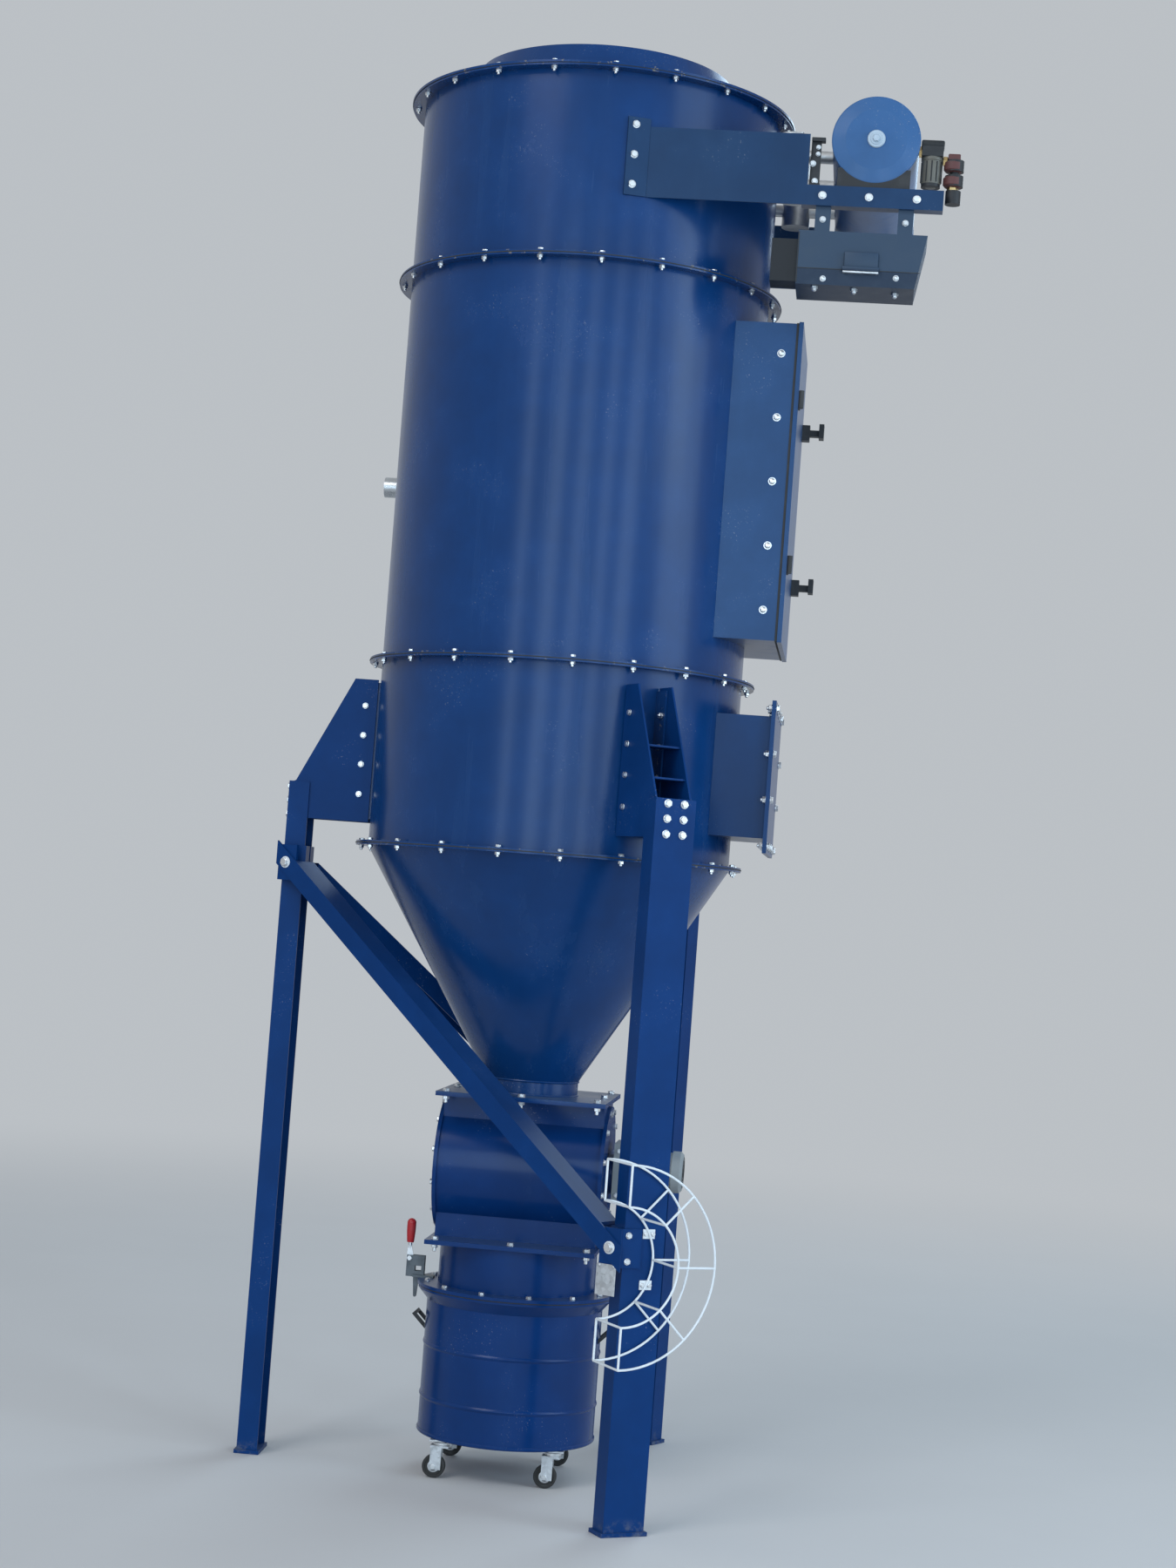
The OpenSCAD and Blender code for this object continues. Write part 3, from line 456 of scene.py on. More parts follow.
class Piece:
    """A mesh piece that is put together from repeated shapes, boxes and rods."""

    def __init__(self, name):
        self.name = name
        self.bm = bmesh.new()

    def add(self, mesh, place):
        old = set(self.bm.verts)
        self.bm.from_mesh(mesh)
        new = [v for v in self.bm.verts if v not in old]
        bmesh.ops.transform(self.bm, matrix=place, verts=new)

    def box(self, low, high, place=Matrix(), edge=0.0015, segments=2):
        low, high = Vector(low), Vector(high)
        size = high - low
        shape = Matrix.Translation((low + high) / 2) @ Matrix.Diagonal((*size, 1.0))
        made = bmesh.ops.create_cube(self.bm, size=1.0, matrix=place @ shape)
        edges = {e for v in made["verts"] for e in v.link_edges}
        if edge:
            bmesh.ops.bevel(
                self.bm, geom=list(edges), offset=edge, segments=segments, profile=0.5,
                affect="EDGES", material=-1,
            )

    def rod(self, points, radius, sides=10, closed=False):
        """A round bar along points, mitred where it bends, with flat ends."""
        points = [Vector(p) for p in points]
        count = len(points)
        rings = []
        normal = None
        for i, point in enumerate(points):
            before = points[i - 1] if i or closed else point
            after = points[(i + 1) % count] if i < count - 1 or closed else point
            tangent = ((after - point).normalized() + (point - before).normalized()).normalized()
            if normal is None:
                normal = tangent.orthogonal().normalized()
            normal = (normal - tangent * normal.dot(tangent)).normalized()
            other = tangent.cross(normal)
            ring = []
            for k in range(sides):
                a = math.tau * k / sides
                ring.append(self.bm.verts.new(point + (normal * math.cos(a) + other * math.sin(a)) * radius))
            rings.append(ring)
        pairs = list(zip(rings, rings[1:])) + ([(rings[-1], rings[0])] if closed else [])
        for one, two in pairs:
            for k in range(sides):
                self.bm.faces.new((one[k], one[(k + 1) % sides], two[(k + 1) % sides], two[k]))
        if not closed:
            self.bm.faces.new(list(reversed(rings[0])))
            self.bm.faces.new(rings[-1])

    def done(self, finish, body="frame", sharp=32, replaces=()):
        mesh = bpy.data.meshes.new(self.name)
        self.bm.to_mesh(mesh)
        self.bm.free()
        mesh.shade_smooth()
        mesh.set_sharp_from_angle(angle=math.radians(sharp))
        mesh.materials.append(finish)
        piece = bpy.data.objects.new(self.name, mesh)
        bpy.context.scene.collection.objects.link(piece)
        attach(piece, body)
        if replaces:
            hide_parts(*replaces)
        return piece


# Sizes shared with the CAD


def span(node):
    """Low and high corner of a CAD node's box."""
    low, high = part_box(node)
    return low, high


M6, M8, M10, M12 = 0.006, 0.008, 0.010, 0.012
BARREL_R = 0.500
FLANGE_T = 0.006
FLANGE_BOLT_R = 0.5185
JOINTS = {
    "cone": span("cone")[1].z,
    "lower": span("lower_barrel")[1].z,
    "upper": span("upper_barrel")[1].z,
    "head": span("head_shell")[1].z,
}
LEG_TURN = 2.0
LEGS = {"left": 180.0 + LEG_TURN, "front": -60.0 + LEG_TURN, "back": 60.0 + LEG_TURN}
LEG_R = 0.730
LEG_TOP = span("leg_left")[1].z
LEG_BOLT_Y, LEG_BOLT_DROPS = 0.0235, (0.013, 0.052, 0.091)
PLATE_Y, CLEAT_Y = 0.0515, 0.0405
CLEAT_BOLT_R, CLEAT_BOLT_Z = 0.5355, (2.073, 1.991, 1.910, 1.827)
CUFF_R = LEG_R + 0.006
BRACE_TOP_Z, BRACE_LOW_Z = 1.624, 0.717
CHORD_N, CHORD_T = 0.43699, 0.57564
EAR_N = CHORD_N - 0.014
PLATE_T = 0.006
VALVE_Z = (span("valve_body")[0].z + span("valve_body")[1].z) / 2
COVER_X, COVER_BOLT_R = 0.230, 0.171
BEARING_X, BEARING_BOLT_R = 0.248, 0.042
DOOR_SIDE_Y, DOOR_FACE_X = 0.260, 0.615
RAIL_TOP = 3.482
CONTROL_X, CONTROL_Z = (0.586, 0.921), (3.223, 3.365)
CONTROL_FRONT = span("control_box")[0].y
# Height below which the control box's front is painted darker, as painted shade of its underside.
SPLIT_Z = CONTROL_Z[0] + 0.043
LEVER_X, LEVER_Z, GRIP_Z = 0.300, 0.560, 0.6015

# Finishes of the CAD nodes

control_paint = control_finish()
lever_red = lever_finish(GRIP_Z)
NODE_FINISH = {
    vessel_paint: "head_lid head_shell lower_barrel cone",
    inlet_paint: "upper_barrel",
    plate_paint: "outlet_spigot port_duct port_cover",
    door_paint: "door_frame access_door",
    wing_paint: "tank_brackets",
    drum_paint: "drum drum_lid valve_body valve_ends outlet_ring",
    frame_paint: "leg_left leg_front leg_back leg_bracket_left leg_bracket_front"
    " leg_bracket_back brace_front brace_back",
    tank_paint: "air_tank",
    galvanised: "castor_plates castor_fork_1 castor_fork_2 castor_fork_3 castor_fork_4",
    dark_zinc: "clamp_bracket_left clamp_bracket_right",
    lever_red: "clamp_lever_left clamp_lever_right",
    steel: "pulse_valves",
    cast_grey: "gearmotor",
    black_paint: "drum_handles door_fittings tank_saddles regulator",
    tyre_rubber: "castor_wheel_1 castor_wheel_2 castor_wheel_3 castor_wheel_4",
    white_coat: "hose_rack",
    control_paint: "control_box",
}

for finish, names in NODE_FINISH.items():
    for name in names.split():
        node = NODES[name]
        if not node.material_slots:
            node.data.materials.append(finish)
        for place in node.material_slots:
            place.material = finish

# Vessel fasteners


def flange_bolts():
    """Twenty bolts in each ring joint: heads above, nuts below."""
    head, end = bolt(M8), nut(M8, 0.7)
    first = {"cone": -80.1, "lower": -80.7, "upper": -81.0, "head": -81.0}
    for name, z in JOINTS.items():
        piece = Piece(f"bolts_{name}_joint")
        for k in range(20):
            angle = first[name] + 18 * k
            spin = random.uniform(0, math.tau)
            piece.add(head, facing(around(angle, FLANGE_BOLT_R, z + FLANGE_T), UP, spin))
            piece.add(end, facing(around(angle, FLANGE_BOLT_R, z - FLANGE_T), DOWN, spin))
        piece.done(zinc)


def joint_seals():
    """A dark gasket shows as a thin line between the flanges of each joint."""
    piece = Piece("joint_gaskets")
    ring = turned(
        [(0.5325, -0.0013), (0.5352, -0.0013), (0.5358, 0.0), (0.5352, 0.0013), (0.5325, 0.0013),
         (0.5325, -0.0013)], 120,
    )
    for z in JOINTS.values():
        piece.add(ring, Matrix.Translation((0, 0, z)))
    piece.done(seal_rubber)


flange_bolts()
joint_seals()


def vessel_welds():
    """Beads round the neck, and the lengthwise seams of the barrels and the head."""
    piece = Piece("vessel_welds")
    neck_top, neck_foot = JOINTS["cone"] - 0.615, span("cone")[0].z + PLATE_T + 0.0005
    for radius, z in ((0.1295, neck_top), (0.1300, neck_foot)):
        piece.rod([around(4.0 * k, radius, z) for k in range(90)], 0.003, 8, True)
    for low, high, angle in (("cone", "lower", 118), ("lower", "upper", 96), ("upper", "head", 124)):
        z0, z1 = JOINTS[low] + FLANGE_T, JOINTS[high] - FLANGE_T
        seam = [around(angle, BARREL_R + 0.0005, z0 + (z1 - z0) * k / 12) for k in range(13)]
        piece.rod(seam, 0.0025, 8)
    piece.done(vessel_paint)


vessel_welds()


def bracket_bolts():
    """Bolts through the brackets' side plates and through the legs' heads."""
    head, end, top = bolt(M8), nut(M8, 0.4), bolt(M10)
    piece = Piece("bracket_bolts")
    for angle in LEGS.values():
        for side in (-1, 1):
            way = outward(angle, side)
            for z in CLEAT_BOLT_Z:
                plate, cleat = (around(angle, CLEAT_BOLT_R, z, side * y) for y in (PLATE_Y, CLEAT_Y))
                piece.add(head, facing(plate, way, any_turn()))
                piece.add(end, facing(cleat, -way))
        for side in (-1, 1):
            for drop in LEG_BOLT_DROPS:
                spot = around(angle, LEG_R, LEG_TOP - drop, side * LEG_BOLT_Y)
                piece.add(top, facing(spot, outward(angle), any_turn()))
    piece.done(zinc)


bracket_bolts()


def brace_bolts():
    """A large bolt through each end of the braces, and two small bolts on each cuff."""
    piece = Piece("brace_bolts")
    pale = Piece("brace_washers")
    big, ring, end = bolt(M12, 0.8), washer(0.016, 0.003), nut(M12, 0.4)
    small = bolt(M8)
    for side in (-1, 1):
        normal = LEGS["left"] - side * 60
        for along, z in ((-CHORD_T, BRACE_TOP_Z), (CHORD_T, BRACE_LOW_Z)):
            spot = around(normal, CHORD_N, z, -side * along)
            pale.add(ring, facing(spot, outward(normal)))
            piece.add(big, facing(spot + outward(normal) * 0.003, outward(normal), any_turn()))
            spot = around(normal, EAR_N, z, -side * along)
            piece.add(end, facing(spot, -outward(normal)))
    cuffs = (
        (LEGS["left"], -1, BRACE_TOP_Z), (LEGS["left"], 1, BRACE_TOP_Z),
        (LEGS["front"], -1, BRACE_LOW_Z), (LEGS["back"], 1, BRACE_LOW_Z),
    )
    for angle, side, z in cuffs:
        for lift in (-0.0325, 0.0325):
            spot = around(angle, CUFF_R, z + lift, side * 0.048)
            piece.add(small, facing(spot, outward(angle), any_turn()))
    piece.done(zinc)
    pale.done(white_coat)


brace_bolts()


def valve_bolts():
    """Bolts of the valve's square flanges and of its end covers."""
    low, high = span("valve_body")
    piece = Piece("valve_bolts")
    head, end = bolt(M10), nut(M10, 1.0)
    edge = 0.205
    corners = [(sx * edge, sy * edge) for sx in (-1, 1) for sy in (-1, 1)]
    fronts = [(0, sy * edge) for sy in (-1, 1)]
    sides = [(sx * edge, 0) for sx in (-1, 1)]
    for x, y in corners + fronts + sides:
        piece.add(head, facing((x, y, high.z + PLATE_T), UP, any_turn()))
    for x, y in corners + fronts:
        piece.add(end, facing((x, y, high.z - PLATE_T), DOWN, any_turn()))
        piece.add(head, facing((x, y, low.z + PLATE_T), UP, any_turn()))
    for x, y in corners:
        piece.add(end, facing((x, y, low.z - PLATE_T), DOWN, any_turn()))
    for side in (-1, 1):
        for y, z in ring_of(12, COVER_BOLT_R, VALVE_Z, 0.5):
            piece.add(bolt(M8), facing((side * COVER_X, y, z), (side, 0, 0), any_turn()))
    for y, z in ring_of(4, BEARING_BOLT_R, VALVE_Z, 0.5):
        piece.add(bolt(M6), facing((-BEARING_X, y, z), (-1, 0, 0), any_turn()))
    piece.done(zinc)


valve_bolts()


def door_details():
    """Round bolts on both sides of the door box, the latches' screws and the door's seal."""
    low, high = span("door_frame")
    piece = Piece("door_bolts")
    rivet = joined((washer(0.011, 0.0015), 0), (domed(0.0085, 0.006), 0.0015))
    for side in (-1, 1):
        for k in range(5):
            spot = (0.555, side * DOOR_SIDE_Y, 3.079 - 0.173 * k)
            piece.add(rivet, facing(spot, (0, side, 0)))
    for z in (2.511, 2.957):
        for lift in (-0.016, 0.016):
            piece.add(bolt(M6), facing((DOOR_FACE_X, -0.250, z + lift), (1, 0, 0)))
    piece.done(zinc)
    seal = Piece("door_seal")
    near, far, half = 0.5915, 0.5985, 0.0015
    for y in (-DOOR_SIDE_Y, DOOR_SIDE_Y):
        seal.box((near, y - half, low.z), (far, y + half, high.z), edge=0.001)
    for z in (low.z, high.z):
        seal.box((near, -DOOR_SIDE_Y - half, z - half), (far, DOOR_SIDE_Y + half, z + half), edge=0.001)
    seal.done(seal_rubber)


door_details()


def port_bolts():
    """Bolts round the port cover, with nuts behind the flange."""
    low, high = span("port_cover")
    piece = Piece("port_bolts")
    inset = 0.020
    ys = (low.y + inset, high.y - inset)
    zs = (low.z + inset, high.z - inset)
    spots = [(y, zs[0] + (zs[1] - zs[0]) * k / 3) for y in ys for k in range(4)]
    spots += [(ys[0] + (ys[1] - ys[0]) * k / 4, z) for z in zs for k in (1, 2, 3)]
    for y, z in spots:
        piece.add(bolt(M10), facing((high.x, y, z), (1, 0, 0), any_turn()))
        piece.add(nut(M10), facing((0.598, y, z), (-1, 0, 0), any_turn()))
    piece.done(zinc)


port_bolts()


def tank_details():
    """End plugs and weld beads of the air tank, and the bolts of its brackets."""
    low, high = span("air_tank")
    centre = Vector(((low.x + high.x) / 2, 0, (low.z + high.z) / 2))
    radius = (high.z - low.z) / 2
    plug = Piece("tank_plugs")
    shape = joined(
        (turned([(0, 0), (0.0235, 0), (0.0235, 0.004), (0.0215, 0.0065), (0, 0.0065)], 36), 0),
        (turned([(0, 0), (0.0165, 0), (0.0155, 0.0015), (0, 0.0015)], 30), 0.0065),
        (hexagon(0.017, 0.006), 0.008),
    )
    for side in (-1, 1):
        spot = (centre.x, side * high.y, centre.z)
        plug.add(shape, facing(spot, (0, side, 0)) @ Matrix.Translation((0, 0, -0.0055)))
    plug.done(pale_zinc)
    bead = Piece("tank_welds")
    for y in (low.y + 0.016, high.y - 0.016):
        ring = ring_of(72, radius - 0.0008, centre.z)
        bead.rod([(centre.x + x, y, z) for x, z in ring], 0.0028, 8, True)
    bead.done(tank_paint)
    rail = Piece("tank_bracket_bolts")
    for side in (-1, 1):
        for x in (0.641, 0.762, 0.886 if side < 0 else 0.860):
            spot = (x, side * 0.470, 3.4555)
            rail.add(bolt(M10), facing(spot, (0, side, 0), any_turn()))
        for z in (3.617, 3.537, 3.458):
            angle = side * 73.6
            rail.add(bolt(M10), facing(around(angle, 0.5045, z), outward(angle), any_turn()))
    rail.done(zinc)


def tank_stays():
    """Bolted flat bar that stands on each rail between the wing and the tank."""
    stay = Piece("tank_stays")
    studs = Piece("tank_stay_nuts")
    for side in (-1, 1):
        y = side * 0.452
        x, foot, top = 0.604, RAIL_TOP - 0.001, RAIL_TOP + 0.128
        stay.box((x, y - 0.003, foot), (x + 0.026, y + 0.003, top), edge=0.001)
        stay.box((x, y - 0.018, foot), (x + 0.028, y + 0.010, RAIL_TOP + 0.005), edge=0.001)
        stay.box((x, y - 0.012, top - 0.010), (x + 0.036, y + 0.012, top), edge=0.001)
        for x, z in ((0.618, 0.014), (0.610, 0.060)):
            studs.add(bolt(M8), facing((x, y + side * 0.003, RAIL_TOP + z), (0, side, 0)))
        for z in (0.086, 0.104):
            studs.add(bolt(M6), facing((0.622, y + side * 0.003, RAIL_TOP + z), (0, side, 0)))
    stay.done(black_paint)
    studs.done(galvanised)


tank_details()
tank_stays()


def air_fittings():
    """Coils and bolted caps of the pulse valves."""
    coils = Piece("solenoid_coils")
    caps = Piece("valve_caps")
    cap = turned([(0, 0), (0.041, 0), (0.041, 0.006), (0.034, 0.010), (0.020, 0.014), (0, 0.015)], 32)
    x = 0.546
    for y in (-0.28, 0.0, 0.28):
        coils.box((x - 0.019, y + 0.034, 3.622), (x + 0.019, y + 0.076, 3.666), edge=0.004)
        coils.box((x - 0.013, y + 0.074, 3.630), (x + 0.013, y + 0.092, 3.658), edge=0.003)
        caps.add(cap, Matrix.Translation((x, y, 3.6575)))
        for k in range(6):
            spot = Vector((x, y, 3.6635)) + outward(60 * k + 12) * 0.036
            caps.add(bolt(M6), facing(spot, UP))
    coils.done(black_plastic)
    caps.done(steel)


air_fittings()


def regulator_details():
    """Bowl of the filter beside the tank, and the stack of knobs next to it."""
    x, y = 0.919, -0.424
    bowl = Piece("filter_bowl")
    cup = turned(
        [(0, 0), (0.010, 0.0005), (0.022, 0.004), (0.0262, 0.012), (0.0262, 0.070), (0.0280, 0.071),
         (0.0280, 0.080), (0, 0.080)], 32,
    )
    bowl.add(cup, Matrix.Translation((x, y, 3.4985)))
    bowl.done(bowl_plastic)
    lid = Piece("filter_lid")
    lid.box((x - 0.030, y - 0.030, 3.604), (x + 0.030, y + 0.030, 3.6195), edge=0.004)
    half = 0.0015
    for k in range(12):
        rib = Vector((x, y, 0)) + outward(30 * k) * 0.0265
        low, high = (rib.x - half, rib.y - half, 3.512), (rib.x + half, rib.y + half, 3.566)
        lid.box(low, high, edge=0.0006, segments=1)
    lid.done(black_plastic)
    stack = Piece("regulator_knobs")
    x = 0.9765
    knob = turned(
        [(0, 0), (0.019, 0), (0.0225, 0.002), (0.0260, 0.006), (0.0260, 0.024), (0.0225, 0.028),
         (0.019, 0.031), (0, 0.031)], 12,
    )
    for z in (3.5425, 3.5025):
        stack.add(knob, Matrix.Translation((x, y, z)))
    stack.box((x - 0.016, y - 0.016, 3.5605), (x + 0.016, y + 0.016, 3.5895), edge=0.003)
    stack.done(dull_red)
    parts = Piece("brass_fittings")
    parts.add(hexagon(0.026, 0.014), Matrix.Translation((x, y, 3.490)))
    parts.add(hexagon(0.022, 0.012), facing((0.948, y, 3.572), (1, 0, 0)))
    parts.add(hexagon(0.026, 0.012), facing((0.884, y, 3.594), (1, 0, 0)))
    parts.done(brass)


regulator_details()


def control_box_details():
    """Screws, cable glands, latch with its bright lip, and the seams of the control box."""
    x0, z0, front = CONTROL_X[0], CONTROL_Z[0], CONTROL_FRONT
    screws = Piece("control_box_screws")
    head = joined((washer(0.008, 0.001), 0), (domed(0.006, 0.004), 0.001))
    for x, z in ((0.071, 0.016), (0.260, 0.026)):
        screws.add(head, facing((x0 + x, front, z0 + z), (0, -1, 0)))
    gland = joined((hexagon(0.017, 0.006), 0), (domed(0.0065, 0.008, 16), 0.006))
    for x, y in ((0.050, 0.022), (0.153, 0.032), (0.260, 0.060)):
        screws.add(gland, facing((x0 + x, front + y, z0), DOWN))
    for x in (0.060, 0.275):
        screws.add(bolt(M8), facing((x0 + x, front, CONTROL_Z[1] + 0.030), (0, -1, 0)))
    screws.done(galvanised)
    lip = Piece("control_box_lip")
    low, high = (x0 + 0.121, front - 0.014, SPLIT_Z - 0.011), (x0 + 0.214, front + 0.001, SPLIT_Z - 0.005)
    lip.box(low, high, edge=0.002)
    lip.done(galvanised)
    handle = Piece("control_box_latch")
    back = front + 0.001
    handle.box((x0 + 0.123, front - 0.010, SPLIT_Z + 0.004), (x0 + 0.212, back, SPLIT_Z + 0.046), edge=0.004)
    handle.box((x0 + 0.119, front - 0.016, SPLIT_Z - 0.006), (x0 + 0.216, back, SPLIT_Z + 0.006), edge=0.003)
    handle.done(control_paint)
    seam = Piece("control_box_seam")
    near = front - 0.0012
    seam.box((x0, near, SPLIT_Z - 0.0015), (x0 + 0.3220, back, SPLIT_Z + 0.0005), edge=0.0006)
    seam.box((x0 + 0.0005, near, z0 + 0.004), (x0 + 0.003, back, CONTROL_Z[1] - 0.004), edge=0.0006)
    seam.done(seal_rubber)


control_box_details()


def clamp_levers():
    """Moulded grips over the CAD levers' ends, and the nuts of their pins."""
    shape = turned(
        [(0, 0), (0.0085, 0), (0.0100, 0.003), (0.0108, 0.012), (0.0122, 0.030), (0.0125, 0.046),
         (0.0119, 0.054), (0.0098, 0.0600), (0.0062, 0.0640), (0, 0.0655)], 28,
    )
    for side, body in ((-1, "lever_left"), (1, "lever_right")):
        grip = Piece(f"{body}_grip")
        grip.add(shape, Matrix.Translation((side * (LEVER_X + 0.003), 0, GRIP_Z + 0.0005)))
        grip.done(red_grip, body)
        pins = Piece(f"{body}_pin")
        for way in (-1, 1):
            pins.add(hexagon(0.013, 0.005), facing((side * LEVER_X, way * 0.011, LEVER_Z), (0, way, 0)))
        pins.done(zinc)


clamp_levers()


def drum_details():
    """Rolled hem and beads of the drum, and the seal and bolts of its lid."""
    hem = Piece("drum_hems")
    hem.add(turned(
        [(0.2380, 0.107), (0.2425, 0.105), (0.2450, 0.108), (0.2450, 0.113), (0.2425, 0.116),
         (0.2400, 0.114), (0.2380, 0.107)], 120,
    ), Matrix())
    for z in (0.205, 0.345):
        hem.add(turned(
            [(0.2405, z - 0.008), (0.2435, z - 0.005), (0.2450, z), (0.2435, z + 0.005),
             (0.2405, z + 0.008), (0.2405, z - 0.008)], 120,
        ), Matrix())
    hem.done(drum_paint)
    edge = Piece("drum_lid_seal")
    edge.add(turned(
        [(0.262, 0.4982), (0.2695, 0.4982), (0.2700, 0.4996), (0.2695, 0.5010), (0.262, 0.5010),
         (0.262, 0.4982)], 120,
    ), Matrix())
    edge.done(seal_rubber)
    nuts = Piece("lid_bolts")
    for k in range(12):
        spot = around(30 * k + 15, 0.246, span("drum_lid")[1].z)
        nuts.add(bolt(M8), facing(spot, UP, any_turn()))
    nuts.done(zinc)


drum_details()


def castor_details():
    """Axle nuts and swivel races on the forks, hub caps on the wheels."""
    trail, race_z = 0.018, 0.0885
    race = turned([(0.0195, 0), (0.0225, 0.002), (0.0225, 0.008), (0.0195, 0.010), (0.0195, 0)], 32)
    cap = turned(
        [(0.0050, 0), (0.0145, 0), (0.0160, 0.0012), (0.0120, 0.0022), (0.0050, 0.0026), (0.0050, 0)], 28,
    )
    for i in range(1, 5):
        low, high = span(f"castor_wheel_{i}")
        centre = (low + high) / 2
        nuts = Piece(f"castor_axle_nuts_{i}")
        for side in (-1, 1):
            spot = centre + Vector((0, side * 0.0155, 0))
            nuts.add(hexagon(0.012, 0.004), facing(spot, (0, side, 0)))
        nuts.add(race, Matrix.Translation((centre.x + trail, centre.y, race_z)))
        nuts.done(zinc, f"swivel_{i}")
        hub = Piece(f"castor_hub_{i}")
        for side in (-1, 1):
            hub.add(cap, facing(centre + Vector((0, side * 0.0088, 0)), (0, side, 0)))
        hub.done(galvanised, f"wheel_{i}")


castor_details()


def wire_rack():
    """Round wires of the hose rack on the front leg."""
    leg = LEGS["front"]
    tab_t, wire, depth = 0.004, 0.003, 0.135
    inner, outer = 0.147, 0.250
    root = LEG_R + tab_t + 0.002
    side0, z0 = -0.122, 0.690
    ribs = (0, 45, 90, 135, 180)
    piece = Piece("hose_rack_wires")

    def spot(level, angle, radius):
        a = math.radians(angle)
        return around(leg, root + level, z0 - radius * math.cos(a), side0 + radius * math.sin(a))

    for level in (0.0, depth):
        for radius in (inner, outer):
            piece.rod([spot(level, 180 * k / 40, radius) for k in range(41)], wire)
        for angle in ribs:
            piece.rod([spot(level, angle, inner), spot(level, angle, outer)], wire)
    for angle in ribs:
        piece.rod([spot(0, angle, inner), spot(depth, angle, inner)], wire)
    for angle in (0, 180):
        piece.rod([spot(0, angle, outer), spot(depth, angle, outer)], wire)
    tab_z = 0.064
    tab_y = side0 + math.sqrt(inner ** 2 - tab_z ** 2)
    turn = Matrix.Rotation(math.radians(leg), 4, "Z")
    for z in (z0 - tab_z, z0 + tab_z):
        low, high = (LEG_R, tab_y - 0.017, z - 0.012), (LEG_R + tab_t, tab_y + 0.017, z + 0.012)
        piece.box(low, high, turn, 0.001)
    piece.done(white_coat, replaces=("hose_rack",))
    screws = Piece("hose_rack_screws")
    for z in (z0 - tab_z, z0 + tab_z):
        for side in (-0.010, 0.010):
            place = around(leg, LEG_R + tab_t, z, tab_y + side)
            screws.add(bolt(M6), facing(place, outward(leg)))
    screws.done(zinc)


wire_rack()


def motor_details():
    """Cooling ribs and fan grille of the motor, and the gearbox's bolts."""
    end_x = span("gearmotor")[1].x
    axis_z = VALVE_Z + 0.020
    box_x = BEARING_X + 0.070
    start = box_x + 0.012
    ribs = Piece("motor_ribs")
    for k in range(28):
        a = 360.0 * k / 28
        if 48 < a < 132:
            continue
        turn = Matrix.Translation((0, 0, axis_z)) @ Matrix.Rotation(math.radians(a), 4, "X")
        ribs.box((start + 0.004, 0.0515, -0.0012), (start + 0.072, 0.0600, 0.0012), turn, 0.0006, 1)
    ribs.done(cast_grey)
    grille = Piece("fan_grille")
    for radius in (0.012, 0.022, 0.032, 0.042):
        ring = [(end_x - 0.0005, y, z) for y, z in ring_of(40, radius, axis_z)]
        grille.rod(ring, 0.0016, 8, True)
    for k in range(4):
        a = math.pi * k / 4
        far = Vector((0, 0.046 * math.cos(a), 0.046 * math.sin(a)))
        mid = Vector((end_x - 0.0012, 0, axis_z))
        grille.rod([mid - far, mid + far], 0.0012, 8)
    grille.done(black_paint)
    bolts = Piece("gearbox_bolts")
    for y in (-0.052, 0.052):
        for z in (axis_z - 0.078, axis_z + 0.058):
            bolts.add(bolt(M8), facing((box_x, y, z), (1, 0, 0), any_turn()))
    for x in (0.262, 0.304):
        for z in (axis_z - 0.070, axis_z + 0.050):
            bolts.add(bolt(M6), facing((x, -0.065, z), (0, -1, 0), any_turn()))
    bolts.done(zinc)


motor_details()


def bare_plate():
    """A bare plate that hangs from the ear of the front brace."""
    piece = Piece("bare_plate")
    normal = LEGS["left"] + 60
    turn = Matrix.Rotation(math.radians(normal), 4, "Z")
    back, face = 0.4335, 0.4347
    piece.box((back, 0.540, 0.597), (face, 0.598, 0.675), turn, 0.0004, 1)
    for y in (0.548, 0.590):
        piece.add(domed(0.004, 0.0025, 12), facing(around(normal, face, 0.670, y), outward(normal)))
    piece.done(galvanised)


bare_plate()

# Floor, light, backdrop

BACKDROP = (0.50, 0.53, 0.56)
SKY = (0.62, 0.83, 1.0)


def make_floor():
    bm = bmesh.new()
    bmesh.ops.create_circle(bm, cap_ends=True, segments=96, radius=40.0)
    mesh = bpy.data.meshes.new("floor")
    bm.to_mesh(mesh)
    bm.free()
    floor = bpy.data.objects.new("floor", mesh)
    floor.location.z = -0.0005
    bpy.context.scene.collection.objects.link(floor)
    f = Finish("floor_finish", Roughness=0.75)
    cloud = f.noise(0.8, 5.0, 0.6)
    f.feed("Base Color", f.mix(cloud.step(0.3, 0.7), (0.640, 0.607, 0.590), (0.656, 0.623, 0.606)))
    far = f.radius().step(3.5, 10.0)
    path = f.tree.nodes.new("ShaderNodeLightPath")
    seen = Val(f, path.outputs["Is Camera Ray"]) + Val(f, path.outputs["Is Glossy Ray"])
    seen = seen + Val(f, path.outputs["Is Transmission Ray"])
    glow = f.tree.nodes.new("ShaderNodeEmission")
    glow.inputs[0].default_value = (*BACKDROP, 1.0)
    blend = f.tree.nodes.new("ShaderNodeMixShader")
    out = next(n for n in f.tree.nodes if n.type == "OUTPUT_MATERIAL")
    f.tree.links.new((far * seen).socket, blend.inputs[0])
    f.tree.links.new(f.shader.outputs[0], blend.inputs[1])
    f.tree.links.new(glow.outputs[0], blend.inputs[2])
    f.tree.links.new(blend.outputs[0], out.inputs[0])
    mesh.materials.append(f.material)


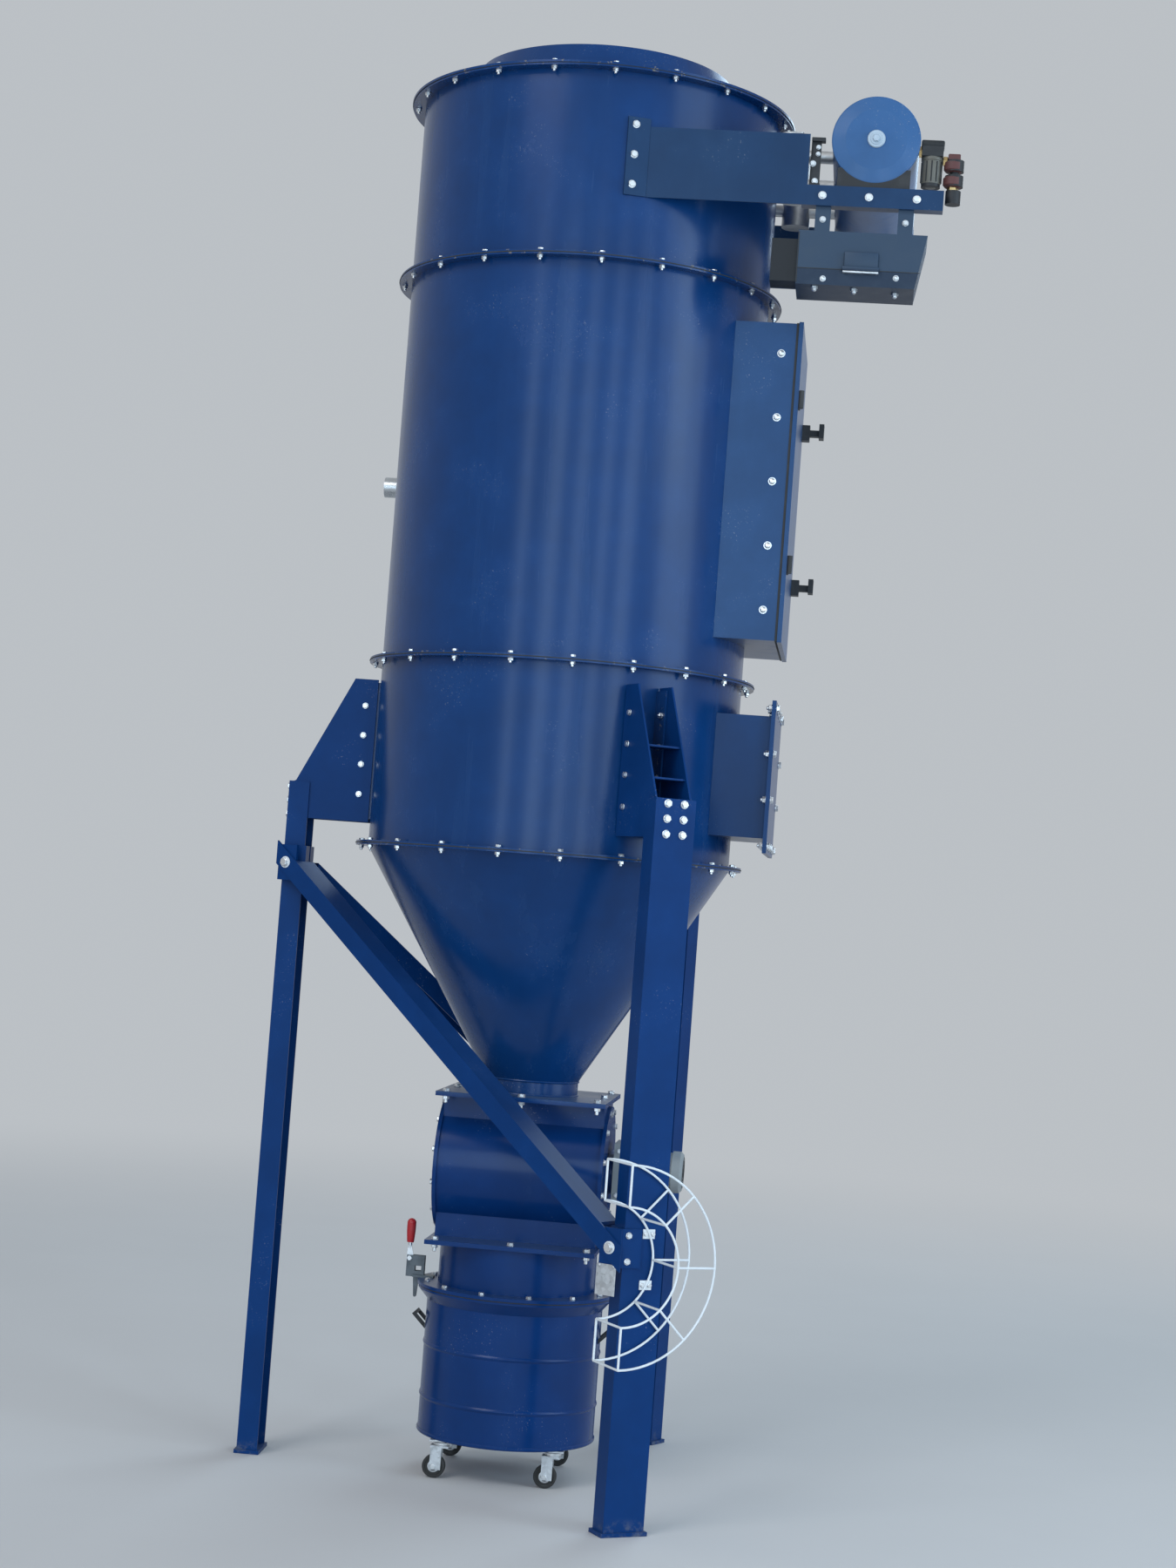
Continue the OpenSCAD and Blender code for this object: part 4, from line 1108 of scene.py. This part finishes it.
def make_world():
    world = bpy.data.worlds.new("studio")
    bpy.context.scene.world = world
    world.use_nodes = True
    tree = world.node_tree
    tree.nodes.clear()
    path = tree.nodes.new("ShaderNodeLightPath")
    plain = tree.nodes.new("ShaderNodeBackground")
    plain.inputs[0].default_value = (0.80, 0.90, 1.0, 1.0)
    plain.inputs[1].default_value = 0.42
    seen = tree.nodes.new("ShaderNodeBackground")
    seen.inputs[0].default_value = (*BACKDROP, 1.0)
    blend = tree.nodes.new("ShaderNodeMixShader")
    out = tree.nodes.new("ShaderNodeOutputWorld")
    last = path.outputs["Is Camera Ray"]
    for kind in ("Is Glossy Ray", "Is Transmission Ray"):
        add = tree.nodes.new("ShaderNodeMath")
        tree.links.new(last, add.inputs[0])
        tree.links.new(path.outputs[kind], add.inputs[1])
        last = add.outputs[0]
    tree.links.new(last, blend.inputs[0])
    tree.links.new(plain.outputs[0], blend.inputs[1])
    tree.links.new(seen.outputs[0], blend.inputs[2])
    tree.links.new(blend.outputs[0], out.inputs[0])


def lamp(name, place, aim, width, height, power, colour=(1, 1, 1)):
    data = bpy.data.lights.new(name, "AREA")
    data.shape = "RECTANGLE"
    data.size, data.size_y = width, height
    data.energy = power
    data.color = colour
    light = bpy.data.objects.new(name, data)
    bpy.context.scene.collection.objects.link(light)
    turn = (Vector(aim) - Vector(place)).to_track_quat("-Z", "Y").to_matrix().to_4x4()
    light.matrix_world = Matrix.Translation(Vector(place)) @ turn


def strip(name, angle, distance, width, power):
    spot = around(angle, distance, 2.9)
    lamp(name, spot, (0, 0, 2.9), width, 5.4, power, SKY)


make_floor()
make_world()
lamp("key", (-5.0, -8.5, 9.5), (0, 0, 1.9), 5.0, 5.0, 400, (0.93, 0.965, 1.0))
lamp("fill", (8.0, -4.0, 6.0), (0, 0, 1.9), 4.0, 4.0, 120, SKY)
lamp("back", (3.0, 8.0, 8.0), (0, 0, 1.9), 5.0, 5.0, 280, SKY)
for count, (angle, width) in enumerate(((-114, 0.9), (-96, 1.4), (-80, 1.2), (-65, 1.1), (-50, 1.5))):
    strip(f"panel_{count}", angle, 10.0, width, 75 * width)
strip("panel_side", -16, 9.0, 4.2, 210)

bpy.context.scene.view_settings.view_transform = "Standard"
